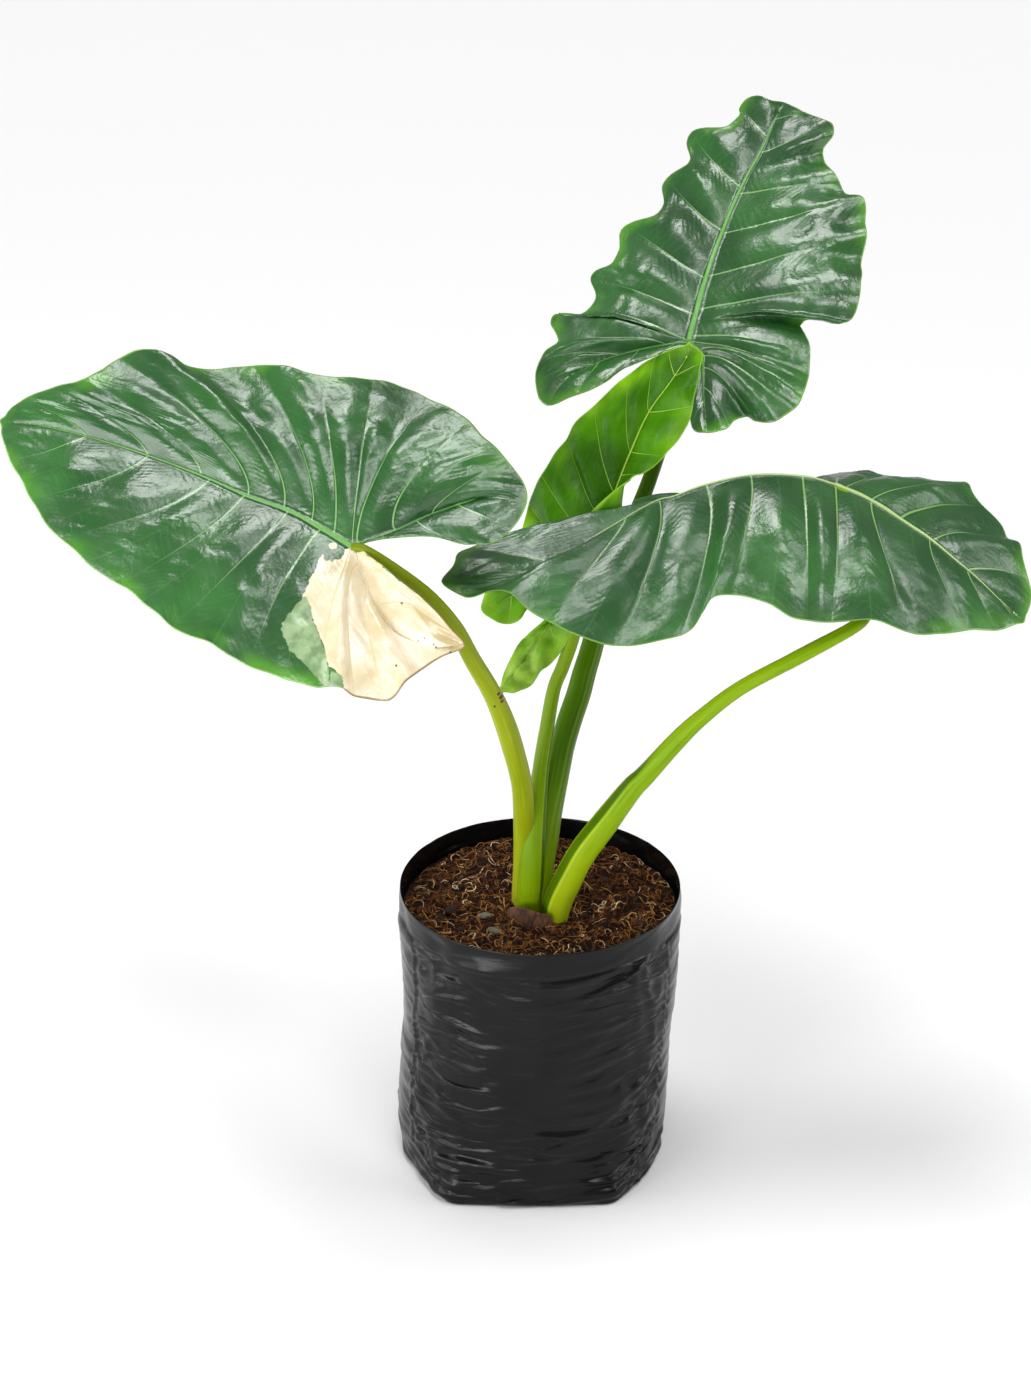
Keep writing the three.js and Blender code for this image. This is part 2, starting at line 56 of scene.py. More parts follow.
# Each leaf: the direction its upper side looks in, the midrib from the junction to the tip, the ribs of
# its two rear lobes, the margin in six stretches round the blade from the tip, and for each stretch its
# side veins, as (share of the way along the rib, place on the margin counted in points).
# "belly" is how far the blade swells at the start of each stretch, and "full_reach" the distance from rib
# to margin at which it swells fully. "quilt", "ruffle" and "crinkle" set the height of its relief, "sweep"
# how far its surface bends towards the tip, "nick" how uneven its margin is, "point" how far its tip is
# drawn out, "vein" the width of its side veins, and "rib" how much wider the midrib is at the junction
# than at the tip, and its width there.
LEAVES = {
    "left": {
        "face": (-0.12, -0.66, 0.74), "full_reach": 150, "belly": (6, 12, 8, 4, 8, 12), "quilt": 3.5,
        "sweep": 0.8, "ruffle": 0.5, "nick": 1.0, "crinkle": 0.7, "vein": 0.9, "point": 4.5,
        "rib": (4.0, 0.9),
        "midrib": [(-162, -90, 647), (-192, -70, 658), (-217, -55, 666), (-252, -39, 673), (-296, -18, 685),
                   (-345, 3, 696), (-397, 26, 704), (-440, 46, 707), (-467, 56, 706)],
        "lobe_ribs": [
            [(-162, -90, 647), (-130, -82, 656), (-94, -70, 669), (-53, -61, 681)],
            [(-162, -90, 647), (-149, -116, 622), (-130, -145, 598), (-106, -165, 582)],
        ],
        "edge": [
            [(-479, 62, 706), (-462, 70, 723), (-431, 65, 737), (-401, 60, 747), (-374, 75, 760),
             (-351, 72, 770), (-326, 62, 767), (-310, 59, 758), (-285, 61, 755), (-256, 57, 759),
             (-224, 46, 763), (-192, 31, 759)],
            [(-145, 32, 756), (-114, 24, 747), (-73, -3, 737), (-45, -35, 722), (-22, -50, 700)],
            [(-13, -67, 678), (-36, -97, 655), (-60, -98, 652), (-96, -93, 658), (-127, -92, 656)],
            [(-153, -92, 649), (-132, -123, 640), (-98, -151, 622), (-76, -168, 603)],
            [(-66, -173, 591), (-83, -174, 582), (-98, -178, 574), (-113, -192, 567), (-125, -194, 553),
             (-136, -191, 549), (-155, -193, 552), (-166, -192, 560), (-178, -188, 560)],
            [(-191, -181, 557), (-215, -169, 558), (-246, -160, 567), (-277, -148, 580), (-311, -125, 587),
             (-347, -95, 603), (-373, -81, 616), (-405, -63, 635), (-429, -38, 648), (-455, 1, 669),
             (-474, 40, 692)],
        ],
        "veins": [
            [(0.757, 1.1), (0.621, 2), (0.499, 3), (0.38, 4.12), (0.27, 7.2), (0.153, 9.2), (0.066, 10.9)],
            [(0.05, 1.35), (0.378, 2.35), (0.671, 3.6)],
            [(0.85, 0.6), (0.552, 2.2), (0.27, 3.4)],
            [(0.19, 1), (0.52, 2.4)],
            [(0.642, 2.6), (0.387, 4.6), (0.15, 6.2)],
            [(0.109, 2.03), (0.252, 4.05), (0.388, 5.64), (0.476, 7.43), (0.62, 8.62), (0.757, 9.57)],
        ],
    },
    "top": {
        "face": (-0.2, -0.58, 0.79), "full_reach": 130, "belly": (5, 10, 8, 3, 8, 10), "quilt": 5.0,
        "sweep": 0.4, "ruffle": 1.0, "nick": 1.2, "crinkle": 0.55, "vein": 1.0, "point": 0.0,
        "rib": (5.0, 1.0),
        "midrib": [(136, 170, 745), (154, 228, 788), (171, 269, 821), (190, 306, 853), (209, 333, 879),
                   (219, 353, 896), (228, 369, 909)],
        "lobe_ribs": [
            [(136, 170, 745), (147, 159, 738), (148, 140, 723), (148, 120, 708), (149, 98, 695)],
            [(136, 170, 745), (105, 176, 738), (64, 177, 727), (27, 171, 712)],
        ],
        "edge": [
            [(235, 379, 917), (250, 355, 913), (272, 350, 905), (277, 326, 899), (267, 324, 881),
             (276, 288, 870), (285, 277, 855), (299, 258, 856), (299, 247, 838), (301, 226, 831),
             (296, 217, 811), (293, 182, 799), (288, 168, 781), (281, 148, 773), (268, 150, 767),
             (257, 168, 765), (245, 176, 764), (237, 164, 760), (244, 134, 751)],
            [(242, 117, 732), (235, 92, 721), (227, 88, 709), (209, 77, 701), (193, 89, 696),
             (185, 100, 697), (174, 92, 697), (165, 78, 693)],
            [(148, 83, 688), (136, 98, 688), (136, 137, 714)],
            [(139, 162, 737), (115, 164, 737), (102, 160, 733), (78, 158, 723), (57, 145, 714),
             (33, 145, 702)],
            [(7, 152, 690), (-2, 173, 697), (-5, 185, 710), (4, 190, 729), (16, 199, 737), (11, 231, 743),
             (16, 239, 749), (30, 227, 751)],
            [(47, 223, 759), (52, 243, 765), (48, 265, 774), (52, 269, 782), (66, 261, 791), (75, 278, 800),
             (77, 305, 811), (88, 305, 820), (108, 296, 828), (116, 312, 836), (118, 340, 847),
             (125, 339, 856), (140, 335, 865), (143, 347, 870), (141, 369, 878), (146, 374, 888),
             (157, 368, 895), (177, 363, 898), (191, 377, 904), (191, 387, 909), (198, 390, 916),
             (209, 383, 921), (220, 375, 920)],
        ],
        "veins": [
            [(0.925, 1.06), (0.668, 2.36), (0.473, 5.32), (0.324, 6.98), (0.171, 9.08), (0.08, 11.32),
             (0.014, 18.2)],
            [(0.203, 0.5), (0.3, 2.25), (0.426, 3.97), (0.645, 6.57)],
            [(0.793, 1.08)],
            [(0.145, 1.56), (0.462, 3.41), (0.763, 5.02)],
            [(0.8, 1.6), (0.6, 2.6), (0.235, 3.94), (0.03, 6)],
            [(0.066, 2.32), (0.165, 6.55), (0.334, 10.56), (0.499, 14.94), (0.777, 19.23)],
        ],
    },
    "young": {
        "face": (-0.45, -0.8, 0.4), "full_reach": 90, "belly": (3, 7, 4, 2, 4, 5), "quilt": 4.5,
        "sweep": 0.25, "ruffle": 2.2, "nick": 0.8, "crinkle": 1.0, "vein": 0.7, "point": 3.0,
        "rib": (3.2, 0.9),
        "midrib": [(40, 25, 564), (53, 46, 604), (64, 57, 633), (80, 69, 674), (96, 76, 709),
                   (114, 76, 736), (130, 76, 762)],
        "lobe_ribs": [
            [(40, 25, 564), (13, 42, 559), (-14, 52, 548), (-37, 53, 535)],
            [(40, 25, 564), (20, 28, 542), (4, 25, 520), (-12, 21, 494)],
        ],
        "edge": [
            [(131, 77, 772), (114, 88, 764), (101, 93, 756), (76, 95, 737), (51, 95, 713), (30, 98, 691),
             (22, 97, 675), (9, 93, 661), (1, 85, 646), (-6, 87, 628), (-11, 82, 617), (-16, 71, 599)],
            [(-26, 66, 572), (-40, 68, 551), (-52, 70, 538)],
            [(-55, 56, 528), (-42, 39, 523), (-31, 35, 522), (-19, 32, 527), (-10, 37, 537), (13, 31, 547)],
            [(34, 24, 556), (17, 24, 542), (0, 22, 528), (-15, 25, 512), (-26, 28, 491), (-33, 20, 478)],
            [(-35, 12, 468), (-26, 9, 464), (-8, 11, 473), (0, 14, 484), (8, 15, 490), (25, 16, 512),
             (44, 18, 538)],
            [(53, 23, 558), (64, 29, 586), (70, 29, 620), (79, 32, 660), (92, 38, 667), (107, 45, 676),
             (113, 50, 683), (130, 51, 709), (136, 58, 737), (141, 62, 762), (141, 66, 769)],
        ],
        "veins": [
            [(0.88, 1.09), (0.668, 1.98), (0.502, 2.91), (0.36, 4.13), (0.217, 5.72), (0.114, 7.97),
             (0.04, 9.93)],
            [(0.222, 0.94), (0.478, 2)],
            [(0.837, 2.2), (0.398, 4.24)],
            [(0.323, 1.67), (0.667, 3.42)],
            [(0.9, 2), (0.584, 4.4)],
            [(0.12, 1), (0.259, 2.33), (0.422, 3.62), (0.502, 5.5), (0.67, 7.49), (0.88, 8.9)],
        ],
    },
    "right": {
        "face": (0, -0.35, 0.94), "full_reach": 140, "belly": (6, 15, 3, 0, -6, 2), "quilt": 5.4,
        "sweep": 0.5, "ruffle": 0.5, "nick": 0.8, "crinkle": 0.45, "vein": 1.0, "point": 2.0,
        "rib": (5.0, 1.1),
        "midrib": [(264, 62, 646), (296, 54, 633), (332, 40, 613), (347, 33, 605), (365, 24, 592),
                   (385, 14, 578), (407, 4, 559), (421, 0, 547)],
        "lobe_ribs": [
            [(264, 62, 646), (236, 64, 653), (191, 60, 656), (149, 50, 651), (118, 38, 644), (99, 28, 642),
             (55, -4, 627), (6, -38, 608), (-41, -56, 601)],
            [(264, 62, 646), (235, 88, 637), (191, 104, 623), (137, 104, 612)],
        ],
        "edge": [
            [(430, -2, 540), (420, -8, 539), (402, -20, 539), (376, -34, 546), (355, -42, 546),
             (333, -50, 548), (318, -50, 551), (296, -52, 561), (275, -56, 563)],
            [(253, -62, 565), (234, -60, 566), (216, -56, 567), (195, -46, 576), (169, -40, 581),
             (150, -48, 583), (141, -58, 574), (129, -68, 560), (107, -76, 554), (69, -84, 552),
             (42, -88, 558), (11, -86, 573), (-10, -84, 584), (-29, -76, 599), (-45, -70, 598),
             (-66, -70, 592)],
            [(-87, -59, 602), (-76, -38, 609), (-73, -23, 614), (-61, -13, 617), (-23, -3, 627),
             (19, 6, 633), (70, 19, 633), (124, 44, 632), (179, 62, 636), (233, 72, 635)],
            [(259, 66, 638), (235, 92, 629), (192, 110, 616), (146, 112, 610), (113, 100, 621),
             (90, 84, 624)],
            [(82, 70, 620), (100, 84, 596), (128, 110, 585), (176, 138, 590), (232, 146, 611)],
            [(276, 140, 629), (314, 142, 626), (336, 138, 625), (368, 130, 623), (389, 116, 628),
             (396, 104, 620), (418, 84, 601), (423, 70, 592), (432, 58, 591), (434, 44, 580),
             (439, 22, 561), (437, 8, 552)],
        ],
        "veins": [
            [(0.889, 0.76), (0.682, 1.9), (0.433, 3.13), (0.143, 5.72)],
            [(0.131, 1.16), (0.26, 4.33), (0.38, 7.38), (0.6, 9.2), (0.7, 11.3), (0.86, 13.9)],
            [(0.865, 2.5), (0.62, 5.6), (0.26, 8)],
            [(0.349, 1.51), (0.741, 3.05)],
            [(0.8, 1.3), (0.45, 2.6), (0.2, 3.9)],
            [(0.035, 1.36), (0.14, 3.94), (0.235, 5.4), (0.449, 7.7), (0.682, 9.56)],
        ],
    },
}

# Each stalk: its centre line from the stem to the blade, and its radius at those points.
PETIOLES = {
    "left": {
        "line": [(-15, 4, 222), (-16, -2, 262), (-15, -12, 300), (-15, -21, 335), (-17, -37, 392),
                 (-26, -55, 443), (-35, -64, 477), (-45, -72, 505), (-60, -82, 538), (-75, -90, 572),
                 (-96, -95, 602), (-123, -98, 627), (-150, -95, 645), (-161, -88, 645)],
        "radius": [10.5, 10.5, 10, 9.6, 9.4, 9.3, 8.9, 8.3, 7.6, 7, 6.2, 5.2, 4.6, 4.6],
    },
    "top": {
        "line": [(-5, -12, 224), (-4, -12, 265), (-2, -10, 291), (3, -4, 325), (6, 0, 346), (14, 14, 376),
                 (20, 28, 401), (27, 40, 423), (35, 50, 444), (41, 60, 464), (47, 70, 481), (62, 94, 530),
                 (83, 124, 578), (102, 152, 619), (122, 172, 678), (136, 172, 741)],
        "radius": [13, 13, 14, 14, 13.6, 12, 11.6, 11.6, 11, 10.6, 10.4, 9.5, 8, 6.8, 6.2, 5.8],
    },
    "young": {
        "line": [(-11, -17, 230), (-10, -20, 262), (-9, -23, 285), (-7, -24, 318), (-5, -20, 349),
                 (0, -2, 393), (5, 6, 426), (12, 14, 466), (20, 18, 487), (28, 20, 512), (38, 25, 549),
                 (41, 28, 563)],
        "radius": [9.5, 11.8, 12.2, 11.4, 9.6, 7.4, 6.8, 6, 6, 6.4, 5.6, 4.6],
    },
    "right": {
        "line": [(10, -28, 236), (15, -30, 268), (25, -32, 295), (39, -35, 326), (60, -38, 359),
                 (82, -41, 393), (93, -42, 406), (119, -43, 439), (141, -43, 463), (176, -43, 493),
                 (226, -41, 522), (274, -35, 548), (288, -22, 556), (305, -6, 568), (311, 18, 584),
                 (303, 40, 605), (284, 53, 628), (271, 58, 638), (264, 63, 643)],
        "radius": [13, 13.4, 13.4, 12.6, 11.9, 10.3, 9.5, 8.3, 7.2, 6.5, 6.6, 5.9, 5.8, 5.8, 5.8, 5.8, 5.6,
                   5.6, 4.6],
    },
}

# Where a stalk's clasping base leaves a groove: (angle from the front in degrees, half width in degrees,
# depth as a share of the radius, from and to as shares of the length).
GROOVES = {
    "left": [(-130, 34, 0.16, 0.0, 0.62)],
    "top": [(28, 7, 0.04, 0.05, 0.42), (-38, 8, 0.03, 0.16, 0.85), (150, 40, 0.2, 0.0, 0.5)],
    "young": [(-70, 22, 0.12, 0.12, 0.7)],
    "right": [(64, 34, 0.17, 0.02, 0.42)],
}

# Pale sectors of the left leaf as outlines in the front view (x, z).
CREAM = [(-162, 648), (-167, 645), (-169, 641), (-181, 639), (-186, 642), (-188, 642), (-191, 637),
         (-196, 629), (-202, 618), (-199, 618), (-195, 612), (-193, 604), (-189, 597), (-186, 591),
         (-182, 584), (-179, 576), (-172, 573), (-167, 569), (-165, 559), (-160, 543), (-118, 540),
         (-85, 562), (-44, 583), (-52, 601), (-95, 623), (-142, 644)]
SAGE = [(-202, 618), (-199, 618), (-195, 612), (-193, 604), (-189, 597), (-186, 591), (-182, 584),
        (-179, 576), (-178, 568), (-178, 561), (-183, 561), (-192, 566), (-200, 573), (-211, 579),
        (-216, 588), (-221, 595), (-213, 606)]
SAGE_TIP = [(-177, 573), (-167, 569), (-165, 557), (-178, 556)]
# Where the cream edge rolls back on itself: its darker tan underside and its shade are painted onto the flat
# blade
CREAM_FOLD_SHADE = [(-110, 617), (-93, 610), (-76, 602), (-62, 594), (-61, 585), (-72, 583), (-81, 589),
              (-91, 596), (-99, 606)]
CREAM_SPOT = (-178, -89, 646)
CREAM_SPOT_RADIUS = 4
# Brown dots on the cream sector, as x, z and radius
BROWN_DOTS = [(-118, 617, 1), (-91, 590, 1), (-89, 588, 0.9), (-122, 577, 0.9), (-99, 594, 0.8),
              (-77, 585, 1), (-104, 591, 0.7)]

# Where the young leaf's margin rolls over: how far its edge comes back, and how far it stands off.
ROLL_REACH = (-43, -13, -5)
ROLL_LIFT = (3, -7, 1)
# Distance between the fine veins of a leaf, and the reach below which a blade is smoother
VEINLET_GAP = 7.0
SHORT_REACH = 60

# Black film bag, round at the rim and folded flat with cut corners at the base.
BAG_HEIGHT = 272
BAG_RIM_RADIUS = 130
BAG_BELLY_RADIUS = 128
BAG_BELLY_HEIGHT = 150
BAG_FOLD_HEIGHT = 62
BAG_LEAN = -8
BAG_LEAN_HEIGHT = 210
BAG_BASE_QUARTER = [(125, 0), (124, 34), (104, 76), (78, 122), (0, 126)]
BAG_BASE_INSET = 5
# Angles of the gusset edges, and of the base corners that their creases run down to
BAG_GUSSETS = (207, 333, 27, 153)
BAG_CORNERS = (239, 301, 59, 121)
BAG_SIDES = 300
# The film is unrolled at this radius, and passes into its slack collar between these heights
FILM_RADIUS = 124
FILM_DEGREE = math.pi / 180 * FILM_RADIUS
COLLAR = (236, 250)
BULGE_ANGLE = 248
# The rim and the mix rise towards the back
BACK_RISE = 6

SOIL_TOP = 250
SOIL_MOUND = 4
STEM_CENTRE = (-3, -17)
STEM_RADIUS = 31
STEM_FOOT = 196
STEM_TOP = 251
SEAT_GAP = 0.3
# The dry scale leaf wraps the stem between these angles
SCALE_LEAF_ANGLES = (212, 296)
SCALE_LEAF_HEIGHT = 24
SCALE_LEAF_THICKNESS = 0.9
# Height of the mix's edge, and how far it lies inside the bag's outer face at its top, sides and base
MIX_EDGE = 249
MIX_INSETS = (2.2, 3.2, 8)
# How far from the axis the mound, the husk and the fibres reach, and how far they keep from the stem's axis
MOUND_REACH = 122
HUSK_REACH = 124
FIBRE_REACH = 125
HUSK_CLEAR = 24
FIBRE_CLEAR = 26
# Bits of husk: shape, number, least and greatest length, and flatness
HUSK = [("chip", 1600, 1.6, 8.5, 0.3), ("lump", 420, 2.0, 6.0, 0.8)]
# Stones, most of them in front on the left: x, y, three sizes, turn and tint
STONES = [
    (-52, -28, 13, 7, 6, 0.3, 0.8), (-43, -60, 12, 7, 6, -0.5, 0.7), (-83, -24, 11, 9, 7, 0.9, 0.15),
    (-92, -30, 9, 8, 6, 0.1, 0.1), (-74, -52, 8, 6, 5, 0.4, 0.2), (62, 40, 8, 6, 5, 0.7, 0.4),
    (92, -36, 9, 6, 5, -0.2, 0.25), (40, 72, 9, 7, 5, 0.5, 0.55),
]
# Colours of the mix as ramps of (place, colour): earth, fibres, husk and stones. The earth's ramp runs to
# near black in the hollows of its crumbs, as painted shade
MIX_COLOURS = [
    [(0.34, "#060301"), (0.52, "#150a03"), (0.64, "#341b0b"), (0.8, "#5a3919")],
    [(0.0, "#1c0d06"), (0.35, "#4a280f"), (0.7, "#7d4b1f"), (0.92, "#ba8448"), (1.0, "#ecd4aa")],
    [(0.0, "#0c0502"), (0.35, "#261307"), (0.7, "#4b2911"), (1.0, "#7a4a22")],
    [(0.0, "#1a1512"), (0.4, "#3a322a"), (0.8, "#6f6e5c"), (1.0, "#8c8b78")],
]

# The photograph's frame and the view it was taken from.
FRAME_SIZE = (1031, 1375)
CAMERA_PLACE = (-22.75, -2472.71, 1596.08)
CAMERA_PITCH = 24.4
CAMERA_FOCAL = 3014.0
SENSOR = 36.0

# Soft light: wide suns as (name, direction to the light, spread in degrees, power), then softboxes.
SUNS = [
    ("overhead_light", (-0.14, 0.15, 0.98), 27, 1.6),
    ("front_light", (0.17, -0.46, 0.87), 24, 0.98),
    ("right_light", (0.66, -0.12, 0.74), 22, 0.46),
]
SOFTBOXES = [
    ("left_softbox", (-2.2, -0.3, 0.6), (0, 0, 0.15), (2.2, 0.8), 26.0),
    ("right_softbox", (2.2, -0.2, 0.6), (0, 0, 0.15), (1.6, 0.6), 14.0),
    ("low_front_softbox", (-0.7, -3.0, 0.75), (0, 0, 0.3), (0.8, 0.6), 15.0),
    ("low_left_softbox", (-1.9, -2.3, 0.75), (0, 0, 0.2), (1.2, 1.0), 40.0),
]


def linear(code):
    """An sRGB hex colour as linear red, green, blue and alpha."""
    parts = [int(code[i:i + 2], 16) / 255 for i in (1, 3, 5)]
    return tuple(c / 12.92 if c <= 0.04045 else ((c + 0.055) / 1.055) ** 2.4 for c in parts) + (1.0,)


# Each kind of node: its type, its inputs in order, its settings and its output.
SPAN = ("Value", "From Min", "From Max", "To Min", "To Max")
NODES = {
    "attribute": ("Attribute", (), {}, "Fac"),
    "place": ("TexCoord", (), {}, "Object"),
    "scaled": ("Mapping", ("Vector", "Scale"), {}, 0),
    "noise": ("TexNoise", ("Vector", "Scale", "Detail", "Roughness"), {}, "Fac"),
    "ramp": ("ValToRGB", ("Fac",), {}, "Color"),
    "step": ("MapRange", SPAN, {"interpolation_type": "SMOOTHSTEP"}, "Result"),
    "span": ("MapRange", SPAN, {}, "Result"),
    "mix": ("Mix", (0, 6, 7), {"data_type": "RGBA"}, 2),
    "point": ("CombineXYZ", (0, 1, 2), {}, 0),
    "height": ("SeparateXYZ", (0,), {}, "Z"),
    "scale": ("VectorMath", (0, 1), {"operation": "MULTIPLY"}, 0),
    "distance": ("VectorMath", (0, 1), {"operation": "DISTANCE"}, "Value"),
    "bump": ("Bump", ("Height", "Strength", "Distance"), {}, "Normal"),
}
SUMS = ("absolute", "add", "cosine", "divide", "greater_than", "maximum", "multiply", "pingpong", "sine",
        "subtract")
NODES.update({kind: ("Math", (0, 1), {"operation": kind.upper()}, 0) for kind in SUMS})


def connect(tree, node, inputs):
    """Sets or links a node's inputs by name or place, with hex colours made linear."""
    for key, value in inputs.items():
        if isinstance(value, bpy.types.NodeSocket):
            tree.links.new(value, node.inputs[key])
        else:
            node.inputs[key].default_value = linear(value) if isinstance(value, str) else value


def add_node(tree, kind, *inputs, **settings):
    """Adds a node of a kind with its settings and its inputs in order, and gives its output."""
    label, names, fixed, output = NODES[kind]
    node = tree.nodes.new("ShaderNode" + label)
    for key, value in {**fixed, **settings}.items():
        setattr(node, key, value)
    connect(tree, node, dict(zip(names, inputs)))
    return node.outputs[output]


def new_finish(name):
    """An empty material, and the function that adds a node to it."""
    finish = bpy.data.materials.new(name)
    finish.use_nodes = True
    return finish, partial(add_node, finish.node_tree)


def fill_shader(finish, values):
    """Sets or links the inputs of a material's principled shader by name."""
    connect(finish.node_tree, finish.node_tree.nodes["Principled BSDF"], values)
    return finish


def smooth(value, low, high):
    """0 below low, 1 above high and a soft step between them."""
    share = np.clip((value - low) / (high - low), 0, 1)
    return share * share * (3 - 2 * share)


def ripples(points, wavelength, seed, waves=10):
    """Smooth seeded noise of about one wavelength, from about -1 to 1, at points in mm."""
    draw = np.random.default_rng(seed)
    way = draw.normal(size=(waves, 3))
    way /= np.linalg.norm(way, axis=1)[:, None]
    length = wavelength * draw.uniform(0.7, 1.5, waves)
    phase = draw.uniform(0, 2 * np.pi, waves)
    total = sum(np.sin(points @ w * (2 * np.pi / l) + p) for w, l, p in zip(way, length, phase))
    return total / math.sqrt(waves)


def unit(vectors):
    """Vectors at length 1, with zero vectors left alone."""
    size = np.linalg.norm(vectors, axis=-1, keepdims=True)
    return vectors / np.maximum(size, 1e-9)


def bell(value, width=1.0):
    """1 at zero, and falling smoothly to nothing over about twice the width."""
    return np.exp(-((value / width) ** 2))


def degrees_off(angle, line):
    """Degrees from -180 to 180 by which an angle in radians lies past a line in degrees."""
    return (np.degrees(angle) - line + 180) % 360 - 180


def ring_at(radius, angle, z, centre=(0, 0)):
    """Points round an upright axis."""
    return np.stack([centre[0] + radius * np.cos(angle), centre[1] + radius * np.sin(angle),
                     np.broadcast_to(z, angle.shape)], -1)


def curve_at(points, index, closed=False):
    """Places and directions on a smooth curve through points, at places counted in points."""
    p = np.array(points, float)
    index = np.asarray(index, float)
    if closed:
        i = np.floor(index).astype(int)
        near = [p[(i + k) % len(p)] for k in (-1, 0, 1, 2)]
    else:
        i = np.clip(np.floor(index).astype(int), 0, len(p) - 2)
        full = np.vstack([2 * p[0] - p[1], p, 2 * p[-1] - p[-2]])
        near = [full[i + k] for k in range(4)]
    w = (index - i)[:, None]
    start, end = (near[2] - near[0]) / 2, (near[3] - near[1]) / 2
    place = ((2 * w**3 - 3 * w**2 + 1) * near[1] + (w**3 - 2 * w**2 + w) * start
             + (3 * w**2 - 2 * w**3) * near[2] + (w**3 - w**2) * end)
    speed = ((6 * w**2 - 6 * w) * near[1] + (3 * w**2 - 4 * w + 1) * start
             + (6 * w - 6 * w**2) * near[2] + (3 * w**2 - 2 * w) * end)
    return place, unit(speed)


def keep_values(mesh, attributes):
    """Keeps named values on the points of a mesh."""
    for key, values in attributes.items():
        layer = mesh.attributes.new(key, "FLOAT", "POINT")
        layer.data.foreach_set("value", values.astype(np.float32).ravel())


def sheet_piece(name, places, attributes=None, wrap=True, flip=False, outward=False):
    """A grid primitive whose points are moved to the places, in mm, with its seam and poles merged."""
    attributes = attributes or {}
    if wrap:
        places = np.concatenate([places, places[:, :1]], axis=1)
        attributes = {k: np.concatenate([v, v[:, :1]], axis=1) for k, v in attributes.items()}
    rows, columns = places.shape[:2]
    bpy.ops.object.select_all(action="DESELECT")
    bpy.ops.mesh.primitive_grid_add(x_subdivisions=columns - 1, y_subdivisions=rows - 1, size=1)
    piece = bpy.context.object
    piece.name = piece.data.name = name
    piece.data.vertices.foreach_set("co", (places * MM).ravel())
    keep_values(piece.data, attributes)
    bpy.ops.object.mode_set(mode="EDIT")
    bpy.ops.mesh.select_all(action="SELECT")
    bpy.ops.mesh.remove_doubles(threshold=5e-6)
    bpy.ops.mesh.dissolve_degenerate(threshold=2e-6)
    if flip:
        bpy.ops.mesh.flip_normals()
    if outward:
        bpy.ops.mesh.select_all(action="SELECT")
        bpy.ops.mesh.normals_make_consistent(inside=False)
    bpy.ops.object.mode_set(mode="OBJECT")
    bpy.ops.object.shade_smooth()
    return piece


def apply_modifier(piece, kind, **settings):
    """Adds a modifier and applies it."""
    bpy.ops.object.select_all(action="DESELECT")
    piece.select_set(True)
    bpy.context.view_layer.objects.active = piece
    modifier = piece.modifiers.new(kind.title(), kind)
    for key, value in settings.items():
        setattr(modifier, key, value)
    bpy.ops.object.modifier_apply(modifier=modifier.name)


def settle(piece, node):
    """The piece rides on the plant's one body, and the CAD node it stands for is hidden."""
    if not piece.data.polygons:
        raise RuntimeError(f"{piece.name} has no faces")
    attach(piece, "root")
    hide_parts(node)


# Leaf blades


def rib_stations(rib_veins):
    """Stations along a rib that both sides share: close beside each side vein and open between them."""
    shares = np.array([0, 0.03, 0.07, 0.13, 0.2, 0.28, 0.36, 0.43, 0.5, 0.57, 0.64, 0.72, 0.8, 0.87, 0.93,
                       0.97])
    marks = sorted({0.0, 1.0, *(s for veins in rib_veins for s, _ in veins)})
    for veins in rib_veins:
        ends = sorted({0.0, 1.0, *(s for s, _ in veins)})
        for low, high in zip(ends, ends[1:]):
            marks += [m for m in low + (high - low) * shares if min(abs(m - k) for k in marks) > 0.0018]
    return np.unique(np.round(marks, 4))


def blade_columns(leaf):
    """One column of values for each line that runs from a rib to the margin, once round the blade."""
    edge = [p for stretch in leaf["edge"] for p in stretch]
    ribs = [leaf["midrib"], *leaf["lobe_ribs"]]
    on_rib = [0, 1, 1, 2, 2, 0]
    stations = [rib_stations([leaf["veins"][s] for s in range(6) if on_rib[s] == r]) for r in range(3)]
    parts = []
    first = 0
    for s in range(6):
        count = len(leaf["edge"][s])
        out = s % 2 == 1
        at = stations[on_rib[s]]
        at = at[:-1] if out else at[:0:-1]
        ends = [(0.0 if out else 1.0, 0.0), *leaf["veins"][s], (1.0 if out else 0.0, float(count))]
        ends = ends if out else ends[::-1]
        known = [e[0] for e in ends]
        index = np.interp(at, known, [e[1] for e in ends])
        order = np.arange(len(ends)) if out else np.arange(len(ends))[::-1]
        phase = np.interp(at, known, order)
        rib = ribs[on_rib[s]]
        root, along = curve_at(rib, at * (len(rib) - 1))
        rim, _ = curve_at(edge, first + index, closed=True)
        belly = leaf["belly"]
        parts.append({
            "root": root, "along": along, "rim": rim, "station": at, "phase": phase, "index": first + index,
            "belly": belly[s] + (belly[(s + 1) % 6] - belly[s]) * index / count,
            "turn": np.full(len(at), s)})
        first += count
    return {k: np.concatenate([part[k] for part in parts]) for k in parts[0]}


def blade_rows(length, rib_width, count=40):
    """Shares of the way from rib to margin: close over the rib and at the margin."""
    near = np.minimum(rib_width, 0.22 * length)
    over_rib = np.array([0, 0.35, 0.68, 0.92, 1.2])[:, None] * near / length
    lip = 1 - np.array([np.minimum(2.6 / length, 0.1), np.minimum(1.0 / length, 0.05)])
    middle = np.linspace(0, 1, count - 5)[1:, None]
    body = over_rib[-1] + (lip[0] - over_rib[-1]) * middle
    return np.vstack([over_rib, body, lip[1:], np.ones((1, len(length)))])


def steadied(ways, turns):
    """Directions averaged with their neighbours within each stretch of the margin."""
    ways = ways.copy()
    for turn in range(6):
        here = np.flatnonzero(turns == turn)
        for _ in range(4):
            wide = np.pad(ways[here], ((6, 6), (0, 0)), mode="edge")
            ways[here] = unit(sum(wide[k:k + len(here)] for k in range(13)))
    return ways


